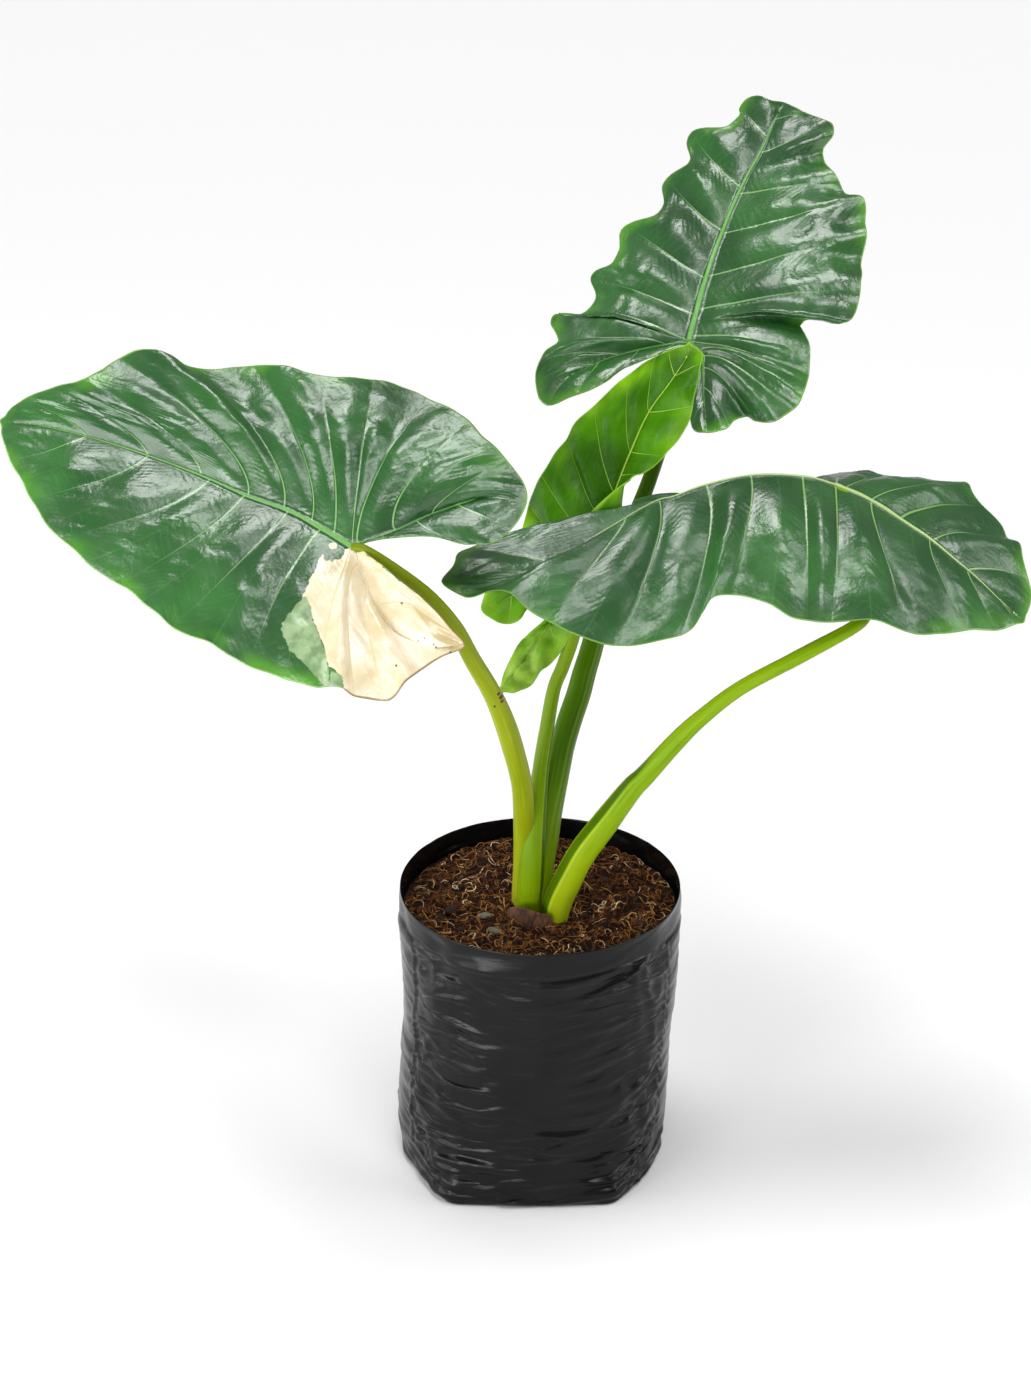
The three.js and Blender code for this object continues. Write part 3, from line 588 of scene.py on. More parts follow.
def blade_surface(column, t, leaf):
    """The plain blade: out from the rib, swept to the tip and swelling between rib and margin."""
    face = unit(np.array(leaf["face"], float))
    reach = column["rim"] - column["root"]
    length = np.linalg.norm(reach, axis=1)
    along = column["along"]
    forward = along * np.sum(reach * along, axis=1)[:, None]
    spread = np.sin(np.pi * column["station"] ** (1 / 1.4))
    swept = t ** (1 + leaf["sweep"] * spread)
    place = column["root"] + (reach - forward) * t[..., None] + forward * swept[..., None]
    across = np.cross(along, reach)
    for turn in range(6):
        here = column["turn"] == turn
        if np.sum(across[here] @ face) < 0:
            across[here] *= -1
    up = steadied(unit(across / np.maximum(length, 1e-6)[:, None] + face * 0.5), column["turn"])
    size = np.minimum(1, length / leaf["full_reach"])
    swell = np.sin(np.pi * t)
    return place + up * (column["belly"] * size * swell)[..., None], up, length, size, swell


def build_blade(name, leaf, settings):
    """The blade's upper side with its ribs, veins and puckers, given its thickness."""
    column = blade_columns(leaf)
    face = unit(np.array(leaf["face"], float))
    wide, narrow = leaf["rib"]
    on_midrib = np.isin(column["turn"], (0, 5))
    rib_width = np.where(on_midrib, 1, 0.62) * (wide * (1 - column["station"]) ** 0.8 + narrow) / 2
    length = np.linalg.norm(column["rim"] - column["root"], axis=1)
    t = blade_rows(length, rib_width)
    plain, up, length, size, swell = blade_surface(column, t, leaf)
    grown = np.minimum(1, length / SHORT_REACH)
    share = column["phase"] - np.floor(column["phase"])
    inside = np.minimum(share, 1 - share)

    # Width of the field between two side veins, at every point
    ring = np.concatenate([plain, plain[:, :1]], axis=1)
    is_vein = inside < 1e-4
    marks = np.flatnonzero(np.append(is_vein, True))
    field = np.zeros(t.shape)
    for low, high in zip(marks, marks[1:]):
        field[:, low:high] = np.linalg.norm(ring[:, low] - ring[:, high], axis=1)[:, None]
    field = np.maximum(field, 0.5)

    # Swelling between the veins, pillows across them and a soft crumple
    between = np.abs(np.sin(np.pi * share))
    quilt = leaf["quilt"] * settings.quilt * size * swell**0.8 * (0.25 * between**2 + 0.75 * between)
    quilt *= np.minimum(1, field / 26)
    run = t * length
    cell = np.floor(column["phase"]) + 11 * column["turn"]
    lane = np.broadcast_to(57 * cell, t.shape)
    pillow = ripples(np.stack([0.55 * run, 1.2 * field * share, lane], -1), 24, 15)
    cross = ripples(np.stack([run, 0.45 * field * share, lane], -1), 13, 16, 16)
    pillow += (0.3 + 0.75 * smooth(t, 0.3, 0.7)) * cross
    pillow *= leaf["crinkle"] * settings.pucker / MM * between**0.7 * np.minimum(1, field / 18)
    pillow *= smooth(t, 0.15, 0.6) * (1 - 0.7 * smooth(t, 0.88, 1))
    herring = run + 0.75 * field * inside
    crumple = ripples(plain, 52, 13) + 0.35 * leaf["crinkle"] * ripples(plain, 19, 14)
    crumple *= settings.crumple / MM * swell**0.6
    ruffle = leaf["ruffle"] * ripples(plain, 30, 17) * t**3
    broad = quilt + crumple * grown + ruffle
    fine = pillow * grown
    lobe_tip = np.zeros(column["turn"].shape)
    if name == "young":
        # The small lower lobe is still crumpled, most of all at its tip
        low_lobe = np.isin(column["turn"], (3, 4))
        lobe_tip = low_lobe * smooth(column["station"], 0.7, 1.0)
        folds = ripples(plain, 17, 19) + 0.5 * ripples(plain, 30, 20)
        fine += (1.3 * low_lobe + 1.5 * lobe_tip) * folds * swell**0.5

    # Normals of the plain surface, steadied by the column's own up direction
    down_column = np.gradient(plain, axis=0)
    along_rim = np.roll(plain, -1, axis=1) - np.roll(plain, 1, axis=1)
    normal = unit(np.cross(down_column, along_rim))
    if np.sum(normal * up) < 0:
        normal = -normal
    normal = unit(normal + 0.8 * up)
    place = plain + up * broad[..., None] + normal * fine[..., None]
    nick = leaf["nick"] * ripples(column["rim"], 34, 18) * grown
    from_tip = np.linalg.norm(column["rim"] - column["rim"][0], axis=1)
    nick += leaf["point"] * (bell(from_tip, 3.5) - 0.4 * bell(from_tip, 10))
    if name == "young":
        end = np.argmax(np.where(column["turn"] == 3, column["station"], -1))
        nick += 6 * bell(np.linalg.norm(column["rim"] - column["rim"][end], axis=1), 3)
    place += unit(column["rim"] - column["root"]) * (nick * t**5)[..., None]

    # Side veins stand up as fine ridges, and the rib as a rounded bar
    vein_width = np.minimum(leaf["vein"] * settings.vein_width / MM * (1 - 0.55 * t), 0.2 * field)
    to_vein = inside * field / vein_width
    ridge = 0.5 * vein_width * np.sqrt(np.clip(1 - to_vein**2, 0, 1)) * smooth(t, 0, 0.08)
    place += normal * ridge[..., None]
    to_rib = run / np.maximum(np.minimum(rib_width, 0.3 * length), 0.05)
    over_rib = unit(face - column["along"] * (column["along"] @ face)[:, None])
    bar = 0.8 * rib_width * np.minimum(1, length / 12)
    bar = bar * np.sqrt(np.clip(1 - to_rib**2, 0, 1)) - 0.5 * bell(to_rib - 1.5, 0.5) * (to_rib > 1)
    place += over_rib * bar[..., None]

    if name == "young":
        place = roll_edge(place, column, t)
    view = place[..., [0, 2]]
    attributes = {
        "rib": np.clip(to_rib, 0, 8),
        "vein": np.clip(to_vein, 0, 8),
        "edge": (1 - t) * length,
        "herring": herring,
        "out": t,
        "share": np.broadcast_to(share, t.shape),
        "curl": np.broadcast_to(lobe_tip, t.shape),
    }
    if name == "left":
        attributes["cream"] = inside_outline(view, CREAM)
        attributes["folded"] = inside_outline(view, CREAM_FOLD_SHADE)
        attributes["sage"] = np.maximum(inside_outline(view, SAGE), inside_outline(view, SAGE_TIP))
    piece = sheet_piece(f"leaf_{name}", place, attributes)
    if np.mean([p.normal @ Vector(face) for p in piece.data.polygons][::37]) < 0:
        piece.data.flip_normals()
    apply_modifier(piece, "SOLIDIFY", thickness=settings.thickness, offset=-1, material_offset=1,
                   material_offset_rim=2)
    return piece


def roll_edge(place, column, t):
    """The young leaf's right margin rolls forward over itself near its foot and shows its underside."""
    last = column["turn"] == 5
    start = sum(len(stretch) for stretch in LEAVES["young"]["edge"][:5])
    weight = np.where(last, np.clip((3.05 - column["index"] + start) / 0.95, 0, 1) ** 0.85, 0)
    span = 0.8
    inner = np.clip(t / span, 0, 1)
    shifted = np.empty_like(place)
    for c in range(place.shape[1]):
        want = t[:, c] * (1 - weight[c]) + weight[c] * inner[:, c]
        for axis in range(3):
            shifted[:, c, axis] = np.interp(want, t[:, c], place[:, c, axis])
    turn = np.clip((t - span) / (1 - span), 0, 1)
    lift = weight * np.sin(np.pi * turn * 0.85)
    return shifted + (weight * turn**1.2)[..., None] * ROLL_REACH + lift[..., None] * ROLL_LIFT


def inside_outline(view, outline):
    """Distance in mm to a closed outline, positive inside it."""
    x, z = view[..., 0], view[..., 1]
    best = np.full(x.shape, 1e9)
    crossed = np.zeros(x.shape, bool)
    for (ax, az), (bx, bz) in zip(outline, outline[1:] + outline[:1]):
        dx, dz = bx - ax, bz - az
        size = max(dx * dx + dz * dz, 1e-9)
        share = np.clip(((x - ax) * dx + (z - az) * dz) / size, 0, 1)
        best = np.minimum(best, np.hypot(x - ax - share * dx, z - az - share * dz))
        if az != bz:
            meets = (z > min(az, bz)) & (z <= max(az, bz)) & (x < ax + (z - az) * dx / dz)
            crossed ^= meets
    return np.where(crossed, best, -best)


# Leaf finishes


def dotted(node, place, body, dots, inner, code):
    """Small round marks on a skin, given as x, z and radius in the front view."""
    for x, z, radius in dots:
        away = node("distance", node("scale", place, (1, 0, 1)), (x * MM, 0, z * MM))
        body = node("mix", node("step", away, radius * MM * 1.2, radius * MM * inner), body, code)
    return body


def leaf_finish(name, palette, variegated=False):
    """Fresh leaf: a thin wax layer over green tissue, glossy on the upper side and dull below, with painted
    shade beside its veins.
    """
    finish, node = new_finish(name)
    place = node("place")
    names = ("rib", "vein", "edge", "herring", "share", "out", "curl")
    rib, vein, edge, herring, share, out, curl = (node("attribute", attribute_name=k) for k in names)

    def patches(scale, detail, *span):
        return node("step", node("noise", place, scale, detail), *span)

    def tinted(body, colour, factor, amount=1.0):
        return node("mix", node("multiply", factor, amount), body, palette[colour])

    # Broad patches of deeper and lighter green, 60 to 120 mm across, and brighter green at the margin
    body = node("mix", patches(11, 1, 0.35, 0.65), palette["deep"], palette["mid"])
    body = tinted(body, "deep", patches(46, 3, 0.42, 0.72), 0.4)
    body = tinted(body, "bright", node("step", edge, palette["edge_reach"], 1.0), patches(19, 2, 0.4, 0.7))
    # Fine veins run in herringbone between the side veins
    wavering = node("add", herring, node("multiply", node("noise", place, 70, 2), VEINLET_GAP))
    wave = node("pingpong", node("divide", wavering, VEINLET_GAP), 0.5)
    veinlet = node("multiply", node("step", wave, 0.07, 0.0), patches(52, 1, 0.4, 0.62))
    body = tinted(body, "vein", veinlet, 0.12)
    halfway = node("step", node("absolute", node("subtract", share, 0.5)), 0.015, 0.0)
    body = tinted(body, "vein", halfway, 0.1)
    # Painted shade: deeper green in the fold on both sides of a vein and of the rib
    fading = node("multiply", node("step", out, palette["vein_end"], 0.15), palette["vein_strength"])
    beside = node("multiply", node("step", vein, 4.0, 1.4), fading)
    body = tinted(body, "shadow", node("maximum", beside, node("step", rib, 2.2, 1.2)), 0.45)
    if "shade_band" in palette:
        # Painted shade: one half of each field between two veins is darker than the other
        lane = node("step", node("absolute", node("subtract", share, 0.7)), 0.32, 0.05)
        lane = node("multiply", lane, patches(24, 2, 0.3, 0.62))
        body = tinted(body, "shadow", lane, palette["shade_band"])
        body = tinted(body, "curl", curl, patches(90, 2, 0.4, 0.6, 0.1, 0.8))
    body = tinted(body, "vein", node("step", vein, 1.3, 0.5), fading)
    body = tinted(body, "rib", node("step", rib, 1.1, 0.8))
    body = tinted(body, "margin", node("step", edge, 1.4, 0.6), 0.6)
    if "low" in palette:
        # The youngest tissue, low down on the blade, is still pale
        young = node("step", node("height", place), 0.56, 0.49)
        body = tinted(body, "low", young, patches(30, 2, 0.3, 0.6, 0.35, 0.85))
    if variegated:
        frayed = node("multiply", node("subtract", node("noise", place, 190, 3), 0.5), 5.0)
        cream, sage = (node("step", node("add", node("attribute", attribute_name=k), frayed), -0.35, 0.35)
                       for k in ("cream", "sage"))
        spot = node("distance", place, [c * MM for c in CREAM_SPOT])
        spot = node("step", spot, (CREAM_SPOT_RADIUS + 0.5) * MM, (CREAM_SPOT_RADIUS - 0.5) * MM)
        cream = node("maximum", cream, spot)
        pale = node("mix", patches(38, 2, 0.3, 0.7), palette["cream"], palette["cream_shade"])
        pale = tinted(pale, "cream_vein", node("step", vein, 1.4, 0.4), 0.35)
        pale = tinted(pale, "cream_shade", veinlet, 0.15)
        # Darker tan where the edge rolls back: the underside's colour with painted shade
        folded = node("attribute", attribute_name="folded")
        pale = tinted(pale, "cream_fold_shade", node("step", folded, -1.0, 1.0), 0.8)
        pale = tinted(pale, "cream_edge", node("step", edge, 1.5, 0.5))
        misty = node("mix", patches(85, 3, 0.38, 0.62), palette["sage"], palette["sage_pale"])
        body = node("mix", sage, node("mix", cream, body, pale), misty)
        body = dotted(node, place, body, BROWN_DOTS, 0.7, "#4a3520")
    rough = patches(34, 2, 0.3, 0.7, palette["roughness"] - 0.05, palette["roughness"] + 0.07)
    rough = node("add", rough, node("multiply", node("step", rib, 1.2, 0.8), 0.2))
    # Cell relief: fine veins, and a crinkle of 3 and of 9 mm
    relief = node("multiply", wave, patches(40, 1, 0.35, 0.65, 0.02, 0.3))
    relief = node("add", relief, node("multiply", node("noise", place, 330, 2), 0.25))
    relief = node("add", relief, node("noise", place, 105, 2))
    return fill_shader(finish, {
        "Base Color": body, "Roughness": rough, "IOR": 1.45, "Specular IOR Level": palette["gloss"],
        "Normal": node("bump", relief, palette["relief"], 0.0022)})


DARK_LEAF = {
    "deep": "#1c4a1e", "mid": "#2c6328", "bright": "#4b8a20", "vein": "#7fb068", "rib": "#569a32",
    "margin": "#7dab3c", "shadow": "#123a12", "edge_reach": 17.0, "vein_end": 1.05, "vein_strength": 0.85,
    "roughness": 0.295, "gloss": 1.0, "relief": 0.34, "cream": "#dfd4ba", "cream_shade": "#cdbd96",
    "cream_vein": "#bfac82", "cream_edge": "#8a7448", "cream_fold_shade": "#b09c6a", "sage": "#6b875c",
    "sage_pale": "#8aa276",
}
YOUNG_LEAF = {
    **DARK_LEAF, "deep": "#255400", "mid": "#4a8a00", "bright": "#7ab214", "vein": "#97bd44",
    "rib": "#9cc044", "margin": "#8cb83c", "edge_reach": 22.0, "vein_end": 1.8, "vein_strength": 0.8,
    "roughness": 0.4, "gloss": 0.16, "low": "#7fa62a", "shadow": "#225000", "shade_band": 0.42,
    "curl": "#b4cc74",
}
DROOPING_LEAF = {**DARK_LEAF, "rib": "#a9c67c", "vein": "#86b566", "relief": 0.26}
UNDER_DARK = {
    **DARK_LEAF, "shadow": "#2f5a28", "deep": "#3f6f36", "mid": "#527f44", "bright": "#6a943c",
    "vein": "#96b874", "rib": "#9cba66", "roughness": 0.55, "gloss": 0.3, "cream": "#cdbc8c",
    "cream_shade": "#b8a46c",
}
UNDER_YOUNG = {
    **YOUNG_LEAF, "shadow": "#6d9418", "deep": "#7a9e24", "mid": "#98bc38", "bright": "#8eb030",
    "vein": "#a8c452", "rib": "#b0cc5c", "roughness": 0.5, "gloss": 0.35,
}


# Stalks


def build_stalk(name, data, settings):
    """A fleshy stalk, lofted along its line, with the grooves and lips of its clasping base."""
    line, radius = data["line"], data["radius"]
    rings, sides = 150, 44
    fine = np.linspace(0, len(line) - 1, 1200)
    places, _ = curve_at(line, fine)
    run = np.concatenate([[0], np.cumsum(np.linalg.norm(np.diff(places, axis=0), axis=1))])
    index = np.interp(np.linspace(0, run[-1], rings), run, fine)
    centre, along = curve_at(line, index)
    width = np.interp(index, np.arange(len(radius)), radius)
    side = unit(np.cross(along, np.array([0, -1, 0.35])))
    front = np.cross(side, along)
    angle = np.linspace(-np.pi, np.pi, sides, endpoint=False)
    share = np.linspace(0, 1, rings)[:, None]
    out, groove, lip = np.ones((rings, sides)), np.zeros((rings, sides)), np.zeros((rings, sides))
    for mid, half, depth, start, stop in GROOVES[name]:
        off = degrees_off(angle, mid)
        window = smooth(share, start - 0.03, start + 0.03) * (1 - smooth(share, stop - 0.2, stop))
        dip = np.clip(1 - (off / half) ** 2, 0, 1) * window
        edge = bell(np.abs(off) - half - 5, 6) * window
        out += -depth * dip + 0.055 * edge
        groove = np.maximum(groove, dip * min(1, 8 * depth))
        lip = np.maximum(lip, edge)
    skin = (share * run[-1] * 0.12, np.cos(angle) * 9, np.sin(angle) * 9)
    out += settings.unevenness * ripples(np.stack([np.broadcast_to(v, out.shape) for v in skin], -1), 9, 21)
    reach = width[:, None] * out
    shape = (centre[:, None] + front[:, None] * (reach * np.cos(angle))[..., None]
             - side[:, None] * (reach * np.sin(angle))[..., None])
    ends = [np.repeat(centre[i][None, None], sides, axis=1) for i in (0, -1)]
    values = {"around": np.degrees(angle) / 180, "along": share, "groove": groove, "lip": lip}
    attributes = {k: np.pad(np.broadcast_to(v, out.shape), ((1, 1), (0, 0)), mode="edge")
                  for k, v in values.items()}
    return sheet_piece(f"stalk_{name}", np.concatenate([ends[0], shape, ends[1]]), attributes, outward=True)


def stalk_finish(name, colours, length, scars=()):
    """Fleshy leaf stalk: waxy skin over wet tissue, streaked lengthwise, with scars; painted shade darkens
    its far side and groove, and a painted highlight lightens its lips.
    """
    foot, low, top, back, pale = colours
    finish, node = new_finish(name)
    place = node("place")
    names = ("around", "along", "groove", "lip")
    around, along, groove, lip = (node("attribute", attribute_name=k) for k in names)
    # Streaks are 2 to 3 mm wide and 60 to 100 mm long: noise on the unrolled skin
    turn = node("multiply", around, math.pi)
    skin = node("point", node("cosine", turn), node("sine", turn), node("multiply", along, length / 260))
    streak = node("noise", skin, 2.8, 4.0)
    body = node("mix", node("step", along, 0.02, 0.3), foot, low)
    body = node("mix", node("step", along, 0.45, 0.9), body, top)
    # Streaks and blotches, then painted shade on the far sides and in the groove, and a painted highlight on
    # its lips
    for source, start, end, amount, colour in (
        (streak, 0.48, 0.7, 0.35, pale), (streak, 0.48, 0.3, 0.3, back),
        (node("noise", place, 38.0, 2.0), 0.55, 0.75, 0.1, back),
        (node("absolute", around), 0.3, 0.75, 0.5, back),
        (groove, 0.05, 0.5, 0.85, back), (lip, 0.3, 0.9, 0.6, pale),
    ):
        body = node("mix", node("multiply", node("step", source, start, end), amount), body, colour)
    body = dotted(node, place, body, scars, 0.6, "#4a2f1c")
    return fill_shader(finish, {
        "Base Color": body, "Roughness": 0.42, "IOR": 1.44, "Specular IOR Level": 0.16,
        "Normal": node("bump", streak, 0.35, 0.0008)})


# Each stalk's colours: foot, low down and top, then a darker one for streaks, blotches and the painted
# shade, and a pale one for streaks and the painted highlight on the lips
STALK_COLOURS = {
    "left": ("#9ca11e", "#84900a", "#6f7f06", "#566c02", "#a4ac38"),
    "top": ("#7a9200", "#446a00", "#385800", "#244000", "#688402"),
    "young": ("#7c9600", "#668600", "#6e8c00", "#425e00", "#8ea412"),
    "right": ("#96a80c", "#789a00", "#749804", "#345800", "#9eb020"),
}
# Scars on the left stalk, as x, z and radius.
STALK_SCARS = [(-41, 491, 1.3), (-34.5, 495, 1.6), (-35.5, 499, 2.0), (-37.5, 503, 1.6)]


# Grow bag


def base_radius(angle):
    """Distance from the axis to the edge of the folded base."""
    x, y = np.abs(np.cos(angle)), np.abs(np.sin(angle))
    out = np.full(angle.shape, float(BAG_BELLY_RADIUS))
    done = np.zeros(angle.shape, bool)
    for (px, py), (qx, qy) in zip(BAG_BASE_QUARTER, BAG_BASE_QUARTER[1:]):
        here = ~done & (y * qx <= x * qy + 1e-9)
        bottom = x * (qy - py) - y * (qx - px)
        out = np.where(here, (px * qy - py * qx) / np.where(np.abs(bottom) < 1e-9, 1, bottom), out)
        done |= here
    # Its corners are rounded by an average over a few degrees
    reach = len(out) // 75
    weight = np.hanning(2 * reach + 3)[1:-1]
    return np.convolve(np.pad(out, reach, mode="wrap"), weight / weight.sum(), "valid")


def bag_radius(angle, z):
    """Distance from the bag's axis to its outer face."""
    flare = smooth(z, BAG_BELLY_HEIGHT, BAG_HEIGHT)
    belly = BAG_BELLY_RADIUS + (BAG_RIM_RADIUS - BAG_BELLY_RADIUS) * flare
    low = base_radius(angle)
    return low + (belly - low) * smooth(z, 0, BAG_FOLD_HEIGHT)


def back_rise(y):
    """How much higher the rim and the mix stand at a distance behind the axis."""
    return BACK_RISE * smooth(y, -110, 125)


def bag_lean(z):
    """How far the bag's axis stands to the right of the origin, at a height."""
    return BAG_LEAN * (1 - smooth(z, 0, BAG_LEAN_HEIGHT))


def bag_relief(angle, z, settings):
    """Wrinkles of the filled film: long level folds, the gusset creases and the crease at the mix."""
    flat = ring_at(FILM_RADIUS, angle, z)
    x, y = flat[..., 0], flat[..., 1]
    turned = np.abs(np.cos(angle))
    sides = (0.45 + 0.6 * smooth(turned, 0.2, 0.7)) * (1 - 0.75 * smooth(turned, 0.82, 0.97))
    sides = np.maximum(sides, 0.8 * (1 - smooth(z, 60, 130)) * (1 - 0.6 * smooth(turned, 0.85, 1)))
    tight = np.stack([x, y, (z + 5 * ripples(flat, 110, 31)) * 4.6], -1)
    patches = smooth(ripples(flat * [1, 1, 1.6], 90, 42), -0.5, 0.9)
    folds = bell(1.3 * ripples(tight, 95, 32)) * (0.5 + patches)
    fine = bell(1.2 * ripples(tight * [1.5, 1.5, 1.8], 90, 33, 16))
    slant = 1 - np.abs(ripples(np.stack([x * 2.4, y * 2.4, z * 0.9 + 0.6 * x], -1), 70, 35))
    slant *= smooth(turned, 0.5, 0.75) * (1 - smooth(turned, 0.8, 0.95))
    relief = settings.wrinkle_depth / MM * ((1.3 * (folds - 0.5) + 0.6 * (fine - 0.5)) * sides + 0.6 * slant)
    relief = (relief + 0.9 * ripples(flat, 150, 34)) * (1 - 0.8 * smooth(z, *COLLAR))
    # Crease where the film leaves the mix, with the filled side bulging below it
    over = z - SOIL_TOP + 3 - 1.6 * ripples(flat, 100, 36)
    relief += 1.3 * bell(over + 7.5, 5) - 1.1 * bell(over, 2)
    collar = ripples(np.stack([x * 2, y * 2, z * 0.5 + x * 0.6], -1), 90, 37)
    loose = 0.4 + 0.9 * smooth(turned, 0.4, 0.8)
    relief += loose * collar * smooth(z, *COLLAR) * (1 - smooth(z, 262, 271))
    # Pressed gusset edges, and the middle line of the folded film
    for edge in BAG_GUSSETS:
        off = degrees_off(angle, edge) * FILM_DEGREE + 1.5 * ripples(flat, 90, 38 + edge)
        window = smooth(z, 20, 45) * (1 - smooth(z, *COLLAR))
        relief += window * (1.3 * bell(off, 1.3) - 0.9 * bell(off - 4, 3))
    for middle in (270, 90):
        relief += 0.35 * bell(degrees_off(angle, middle) * FILM_DEGREE, 1.6) * (1 - smooth(z, 240, 250))
    # Creases from the foot of each gusset to the corners of the base
    for edge, corner in zip(BAG_GUSSETS, BAG_CORNERS):
        line = corner + (edge - corner) * np.clip(z / BAG_FOLD_HEIGHT, 0, 1)
        off = degrees_off(angle, line) * FILM_DEGREE
        low = smooth(z, 4, 14) * (1 - smooth(z, 52, 68))
        relief += low * (1.3 * bell(off, 1.6) - 0.8 * bell(off - 5, 3.5))
    # Slack bulge in the collar
    turn = degrees_off(angle, BULGE_ANGLE)
    relief += 4.4 * bell(turn, 17) * bell(z - 251 - 0.15 * turn, 8)
    relief -= 0.8 * bell(turn, 18) * bell(z - 238 - 0.15 * turn, 4)
    # Slack film above the base fold
    foot = bell(z - 30 - 6 * ripples(flat, 80, 40), 3.5) - 0.7 * bell(z - 14, 5)
    relief += 1.5 * foot * (0.5 + 0.5 * ripples(flat, 55, 39))
    relief += 1.3 * ripples(flat * [1.6, 1.6, 2.5], 60, 41) * (1 - smooth(z, 18, 44))
    return relief * smooth(z, 0, 7)


def build_bag(settings):
    """The film as one closed shell: under the base, up the outside, over the rim and down the inside."""
    angle = np.linspace(0, 2 * np.pi, BAG_SIDES, endpoint=False)
    spans = ((0, 64, 40), (64, 236, 88), (236, 271.6, 26))
    levels = np.concatenate([np.linspace(*span)[1:] for span in spans])
    wall = settings.film / MM

    def ring(z, inset, relief=1.0):
        z = np.full(BAG_SIDES, float(z))
        radius = bag_radius(angle, z) - inset + relief * bag_relief(angle, z, settings)
        tall = z + back_rise(radius * np.sin(angle)) * smooth(z, 200, 265)
        return ring_at(radius, angle, tall, (bag_lean(z), 0))

    rows = [ring_at(0, angle, 0), ring(0, 60, 0), ring(0, 7, 0), ring(0.5, 4.6, 0)]
    rows += [ring(z, 4.2 * math.exp(-z / 2.4)) for z in levels]
    top = ring(levels[-1], wall * 0.5)
    top[:, 2] += BAG_HEIGHT - levels[-1]
    down = levels[::-1]
    rows += [top, *(ring(z, wall) for z in (*down[:30], *down[30::9]))]
    rows += [ring(1.5, BAG_BASE_INSET + wall, 0), ring_at(0, angle, 1.5)]
    return sheet_piece("bag_film", np.array(rows), outward=True)


def film_finish(settings):
    """Low-density polyethylene film, carbon black and blown: a soft gloss broken by fine stretch marks."""
    finish, node = new_finish("black_polyethylene_film")
    place = node("place")
    # Stretch marks are 1 to 2 mm high and run level round the bag
    marks = node("noise", node("scaled", place, (1.0, 1.0, 5.0)), 70.0, 4.0, 0.6)
    dust = node("noise", place, 24.0, 5.0)
    body = node("mix", node("span", dust, 0.35, 0.75), (*settings.colour, 1.0), "#0e0e0e")
    return fill_shader(finish, {
        "Base Color": body, "Roughness": node("span", dust, 0.3, 0.8, 0.17, 0.3), "IOR": 1.51,
        "Specular IOR Level": 0.18, "Normal": node("bump", marks, 0.3, 0.0012)})


# Potting mix


def soil_height(x, y):
    """Height of the mix's surface: a low mound with crumbs and hollows."""
    away = np.hypot(x, y) / MOUND_REACH
    points = np.stack([x, y, np.zeros_like(x)], -1)
    mound = SOIL_TOP + SOIL_MOUND * (1 - smooth(away, 0.55, 1.0)) - 2.0 + 1.3 * back_rise(y)
    lumps = 1.8 * ripples(points, 34, 51) + 1.6 * np.abs(ripples(points, 15, 52))
    lumps += 0.9 * ripples(points, 7, 53)
    return mound + lumps * (1 - 0.7 * smooth(away, 0.96, 1.03))


def soil_body():
    """The mix as one closed body, finely crumbled on top."""
    angle = np.linspace(0, 2 * np.pi, 240, endpoint=False)
    top, side, base = MIX_INSETS
    rows = []
    for share in np.linspace(0, 1, 64):
        row = ring_at(share * (bag_radius(angle, MIX_EDGE) - top), angle, 0)
        row[:, 2] = soil_height(row[:, 0], row[:, 1])
        rows.append(row)
    for z in (240, 150, 62, 40, 20, 5):
        rows.append(ring_at(bag_radius(angle, z) - side, angle, z, (bag_lean(z), 0)))
    rows += [ring_at(base_radius(angle) - base, angle, 2.0, (bag_lean(2.0), 0)), ring_at(0, angle, 2.0)]
    places = np.array(rows)
    tint = 0.22 + 0.18 * ripples(places, 12, 54)
    return sheet_piece("coir_mix", places, {"tint": tint, "kind": np.zeros(tint.shape)}, flip=True)


def scatter(draw, count, clear):
    """Seeded places on the mix, clear of the stalks' feet."""
    spots = []
    while len(spots) < count:
        radius, angle = HUSK_REACH * math.sqrt(draw.random()), draw.uniform(0, 2 * math.pi)
        x, y = radius * math.cos(angle), radius * math.sin(angle)
        if math.hypot(x - STEM_CENTRE[0], y - STEM_CENTRE[1]) > clear:
            spots.append((x, y))
    return np.array(spots)


def loose_mesh(name, cloud, faces, tints, kind):
    """An object from points in mm and faces, with a tint for each point and one kind."""
    mesh = bpy.data.meshes.new(name)
    mesh.from_pydata((cloud.reshape(-1, 3) * MM).tolist(), [], faces)
    keep_values(mesh, {"tint": tints, "kind": np.full(len(tints), kind)})
    piece = bpy.data.objects.new(name, mesh)
    bpy.context.collection.objects.link(piece)
    return piece


def many_copies(name, shape, faces, places, turns, sizes, tints, kind):
    """One mesh of many small copies of a shape, each turned, sized, placed and tinted."""
    count, points = len(places), len(shape)
    cos, sin = np.cos(turns), np.sin(turns)
    one = np.eye(3)
    for axis, (a, b) in enumerate(((1, 2), (2, 0), (0, 1))):
        turn = np.tile(np.eye(3), (count, 1, 1))
        turn[:, a, a], turn[:, a, b] = cos[:, axis], -sin[:, axis]
        turn[:, b, a], turn[:, b, b] = sin[:, axis], cos[:, axis]
        one = turn @ one
    cloud = np.einsum("nij,npj->npi", one, shape[None] * sizes[:, None]) + places[:, None]
    corners = (np.array(faces)[None] + (np.arange(count) * points)[:, None, None]).reshape(-1, len(faces[0]))
    return loose_mesh(name, cloud, corners.tolist(), np.repeat(tints, points), kind)


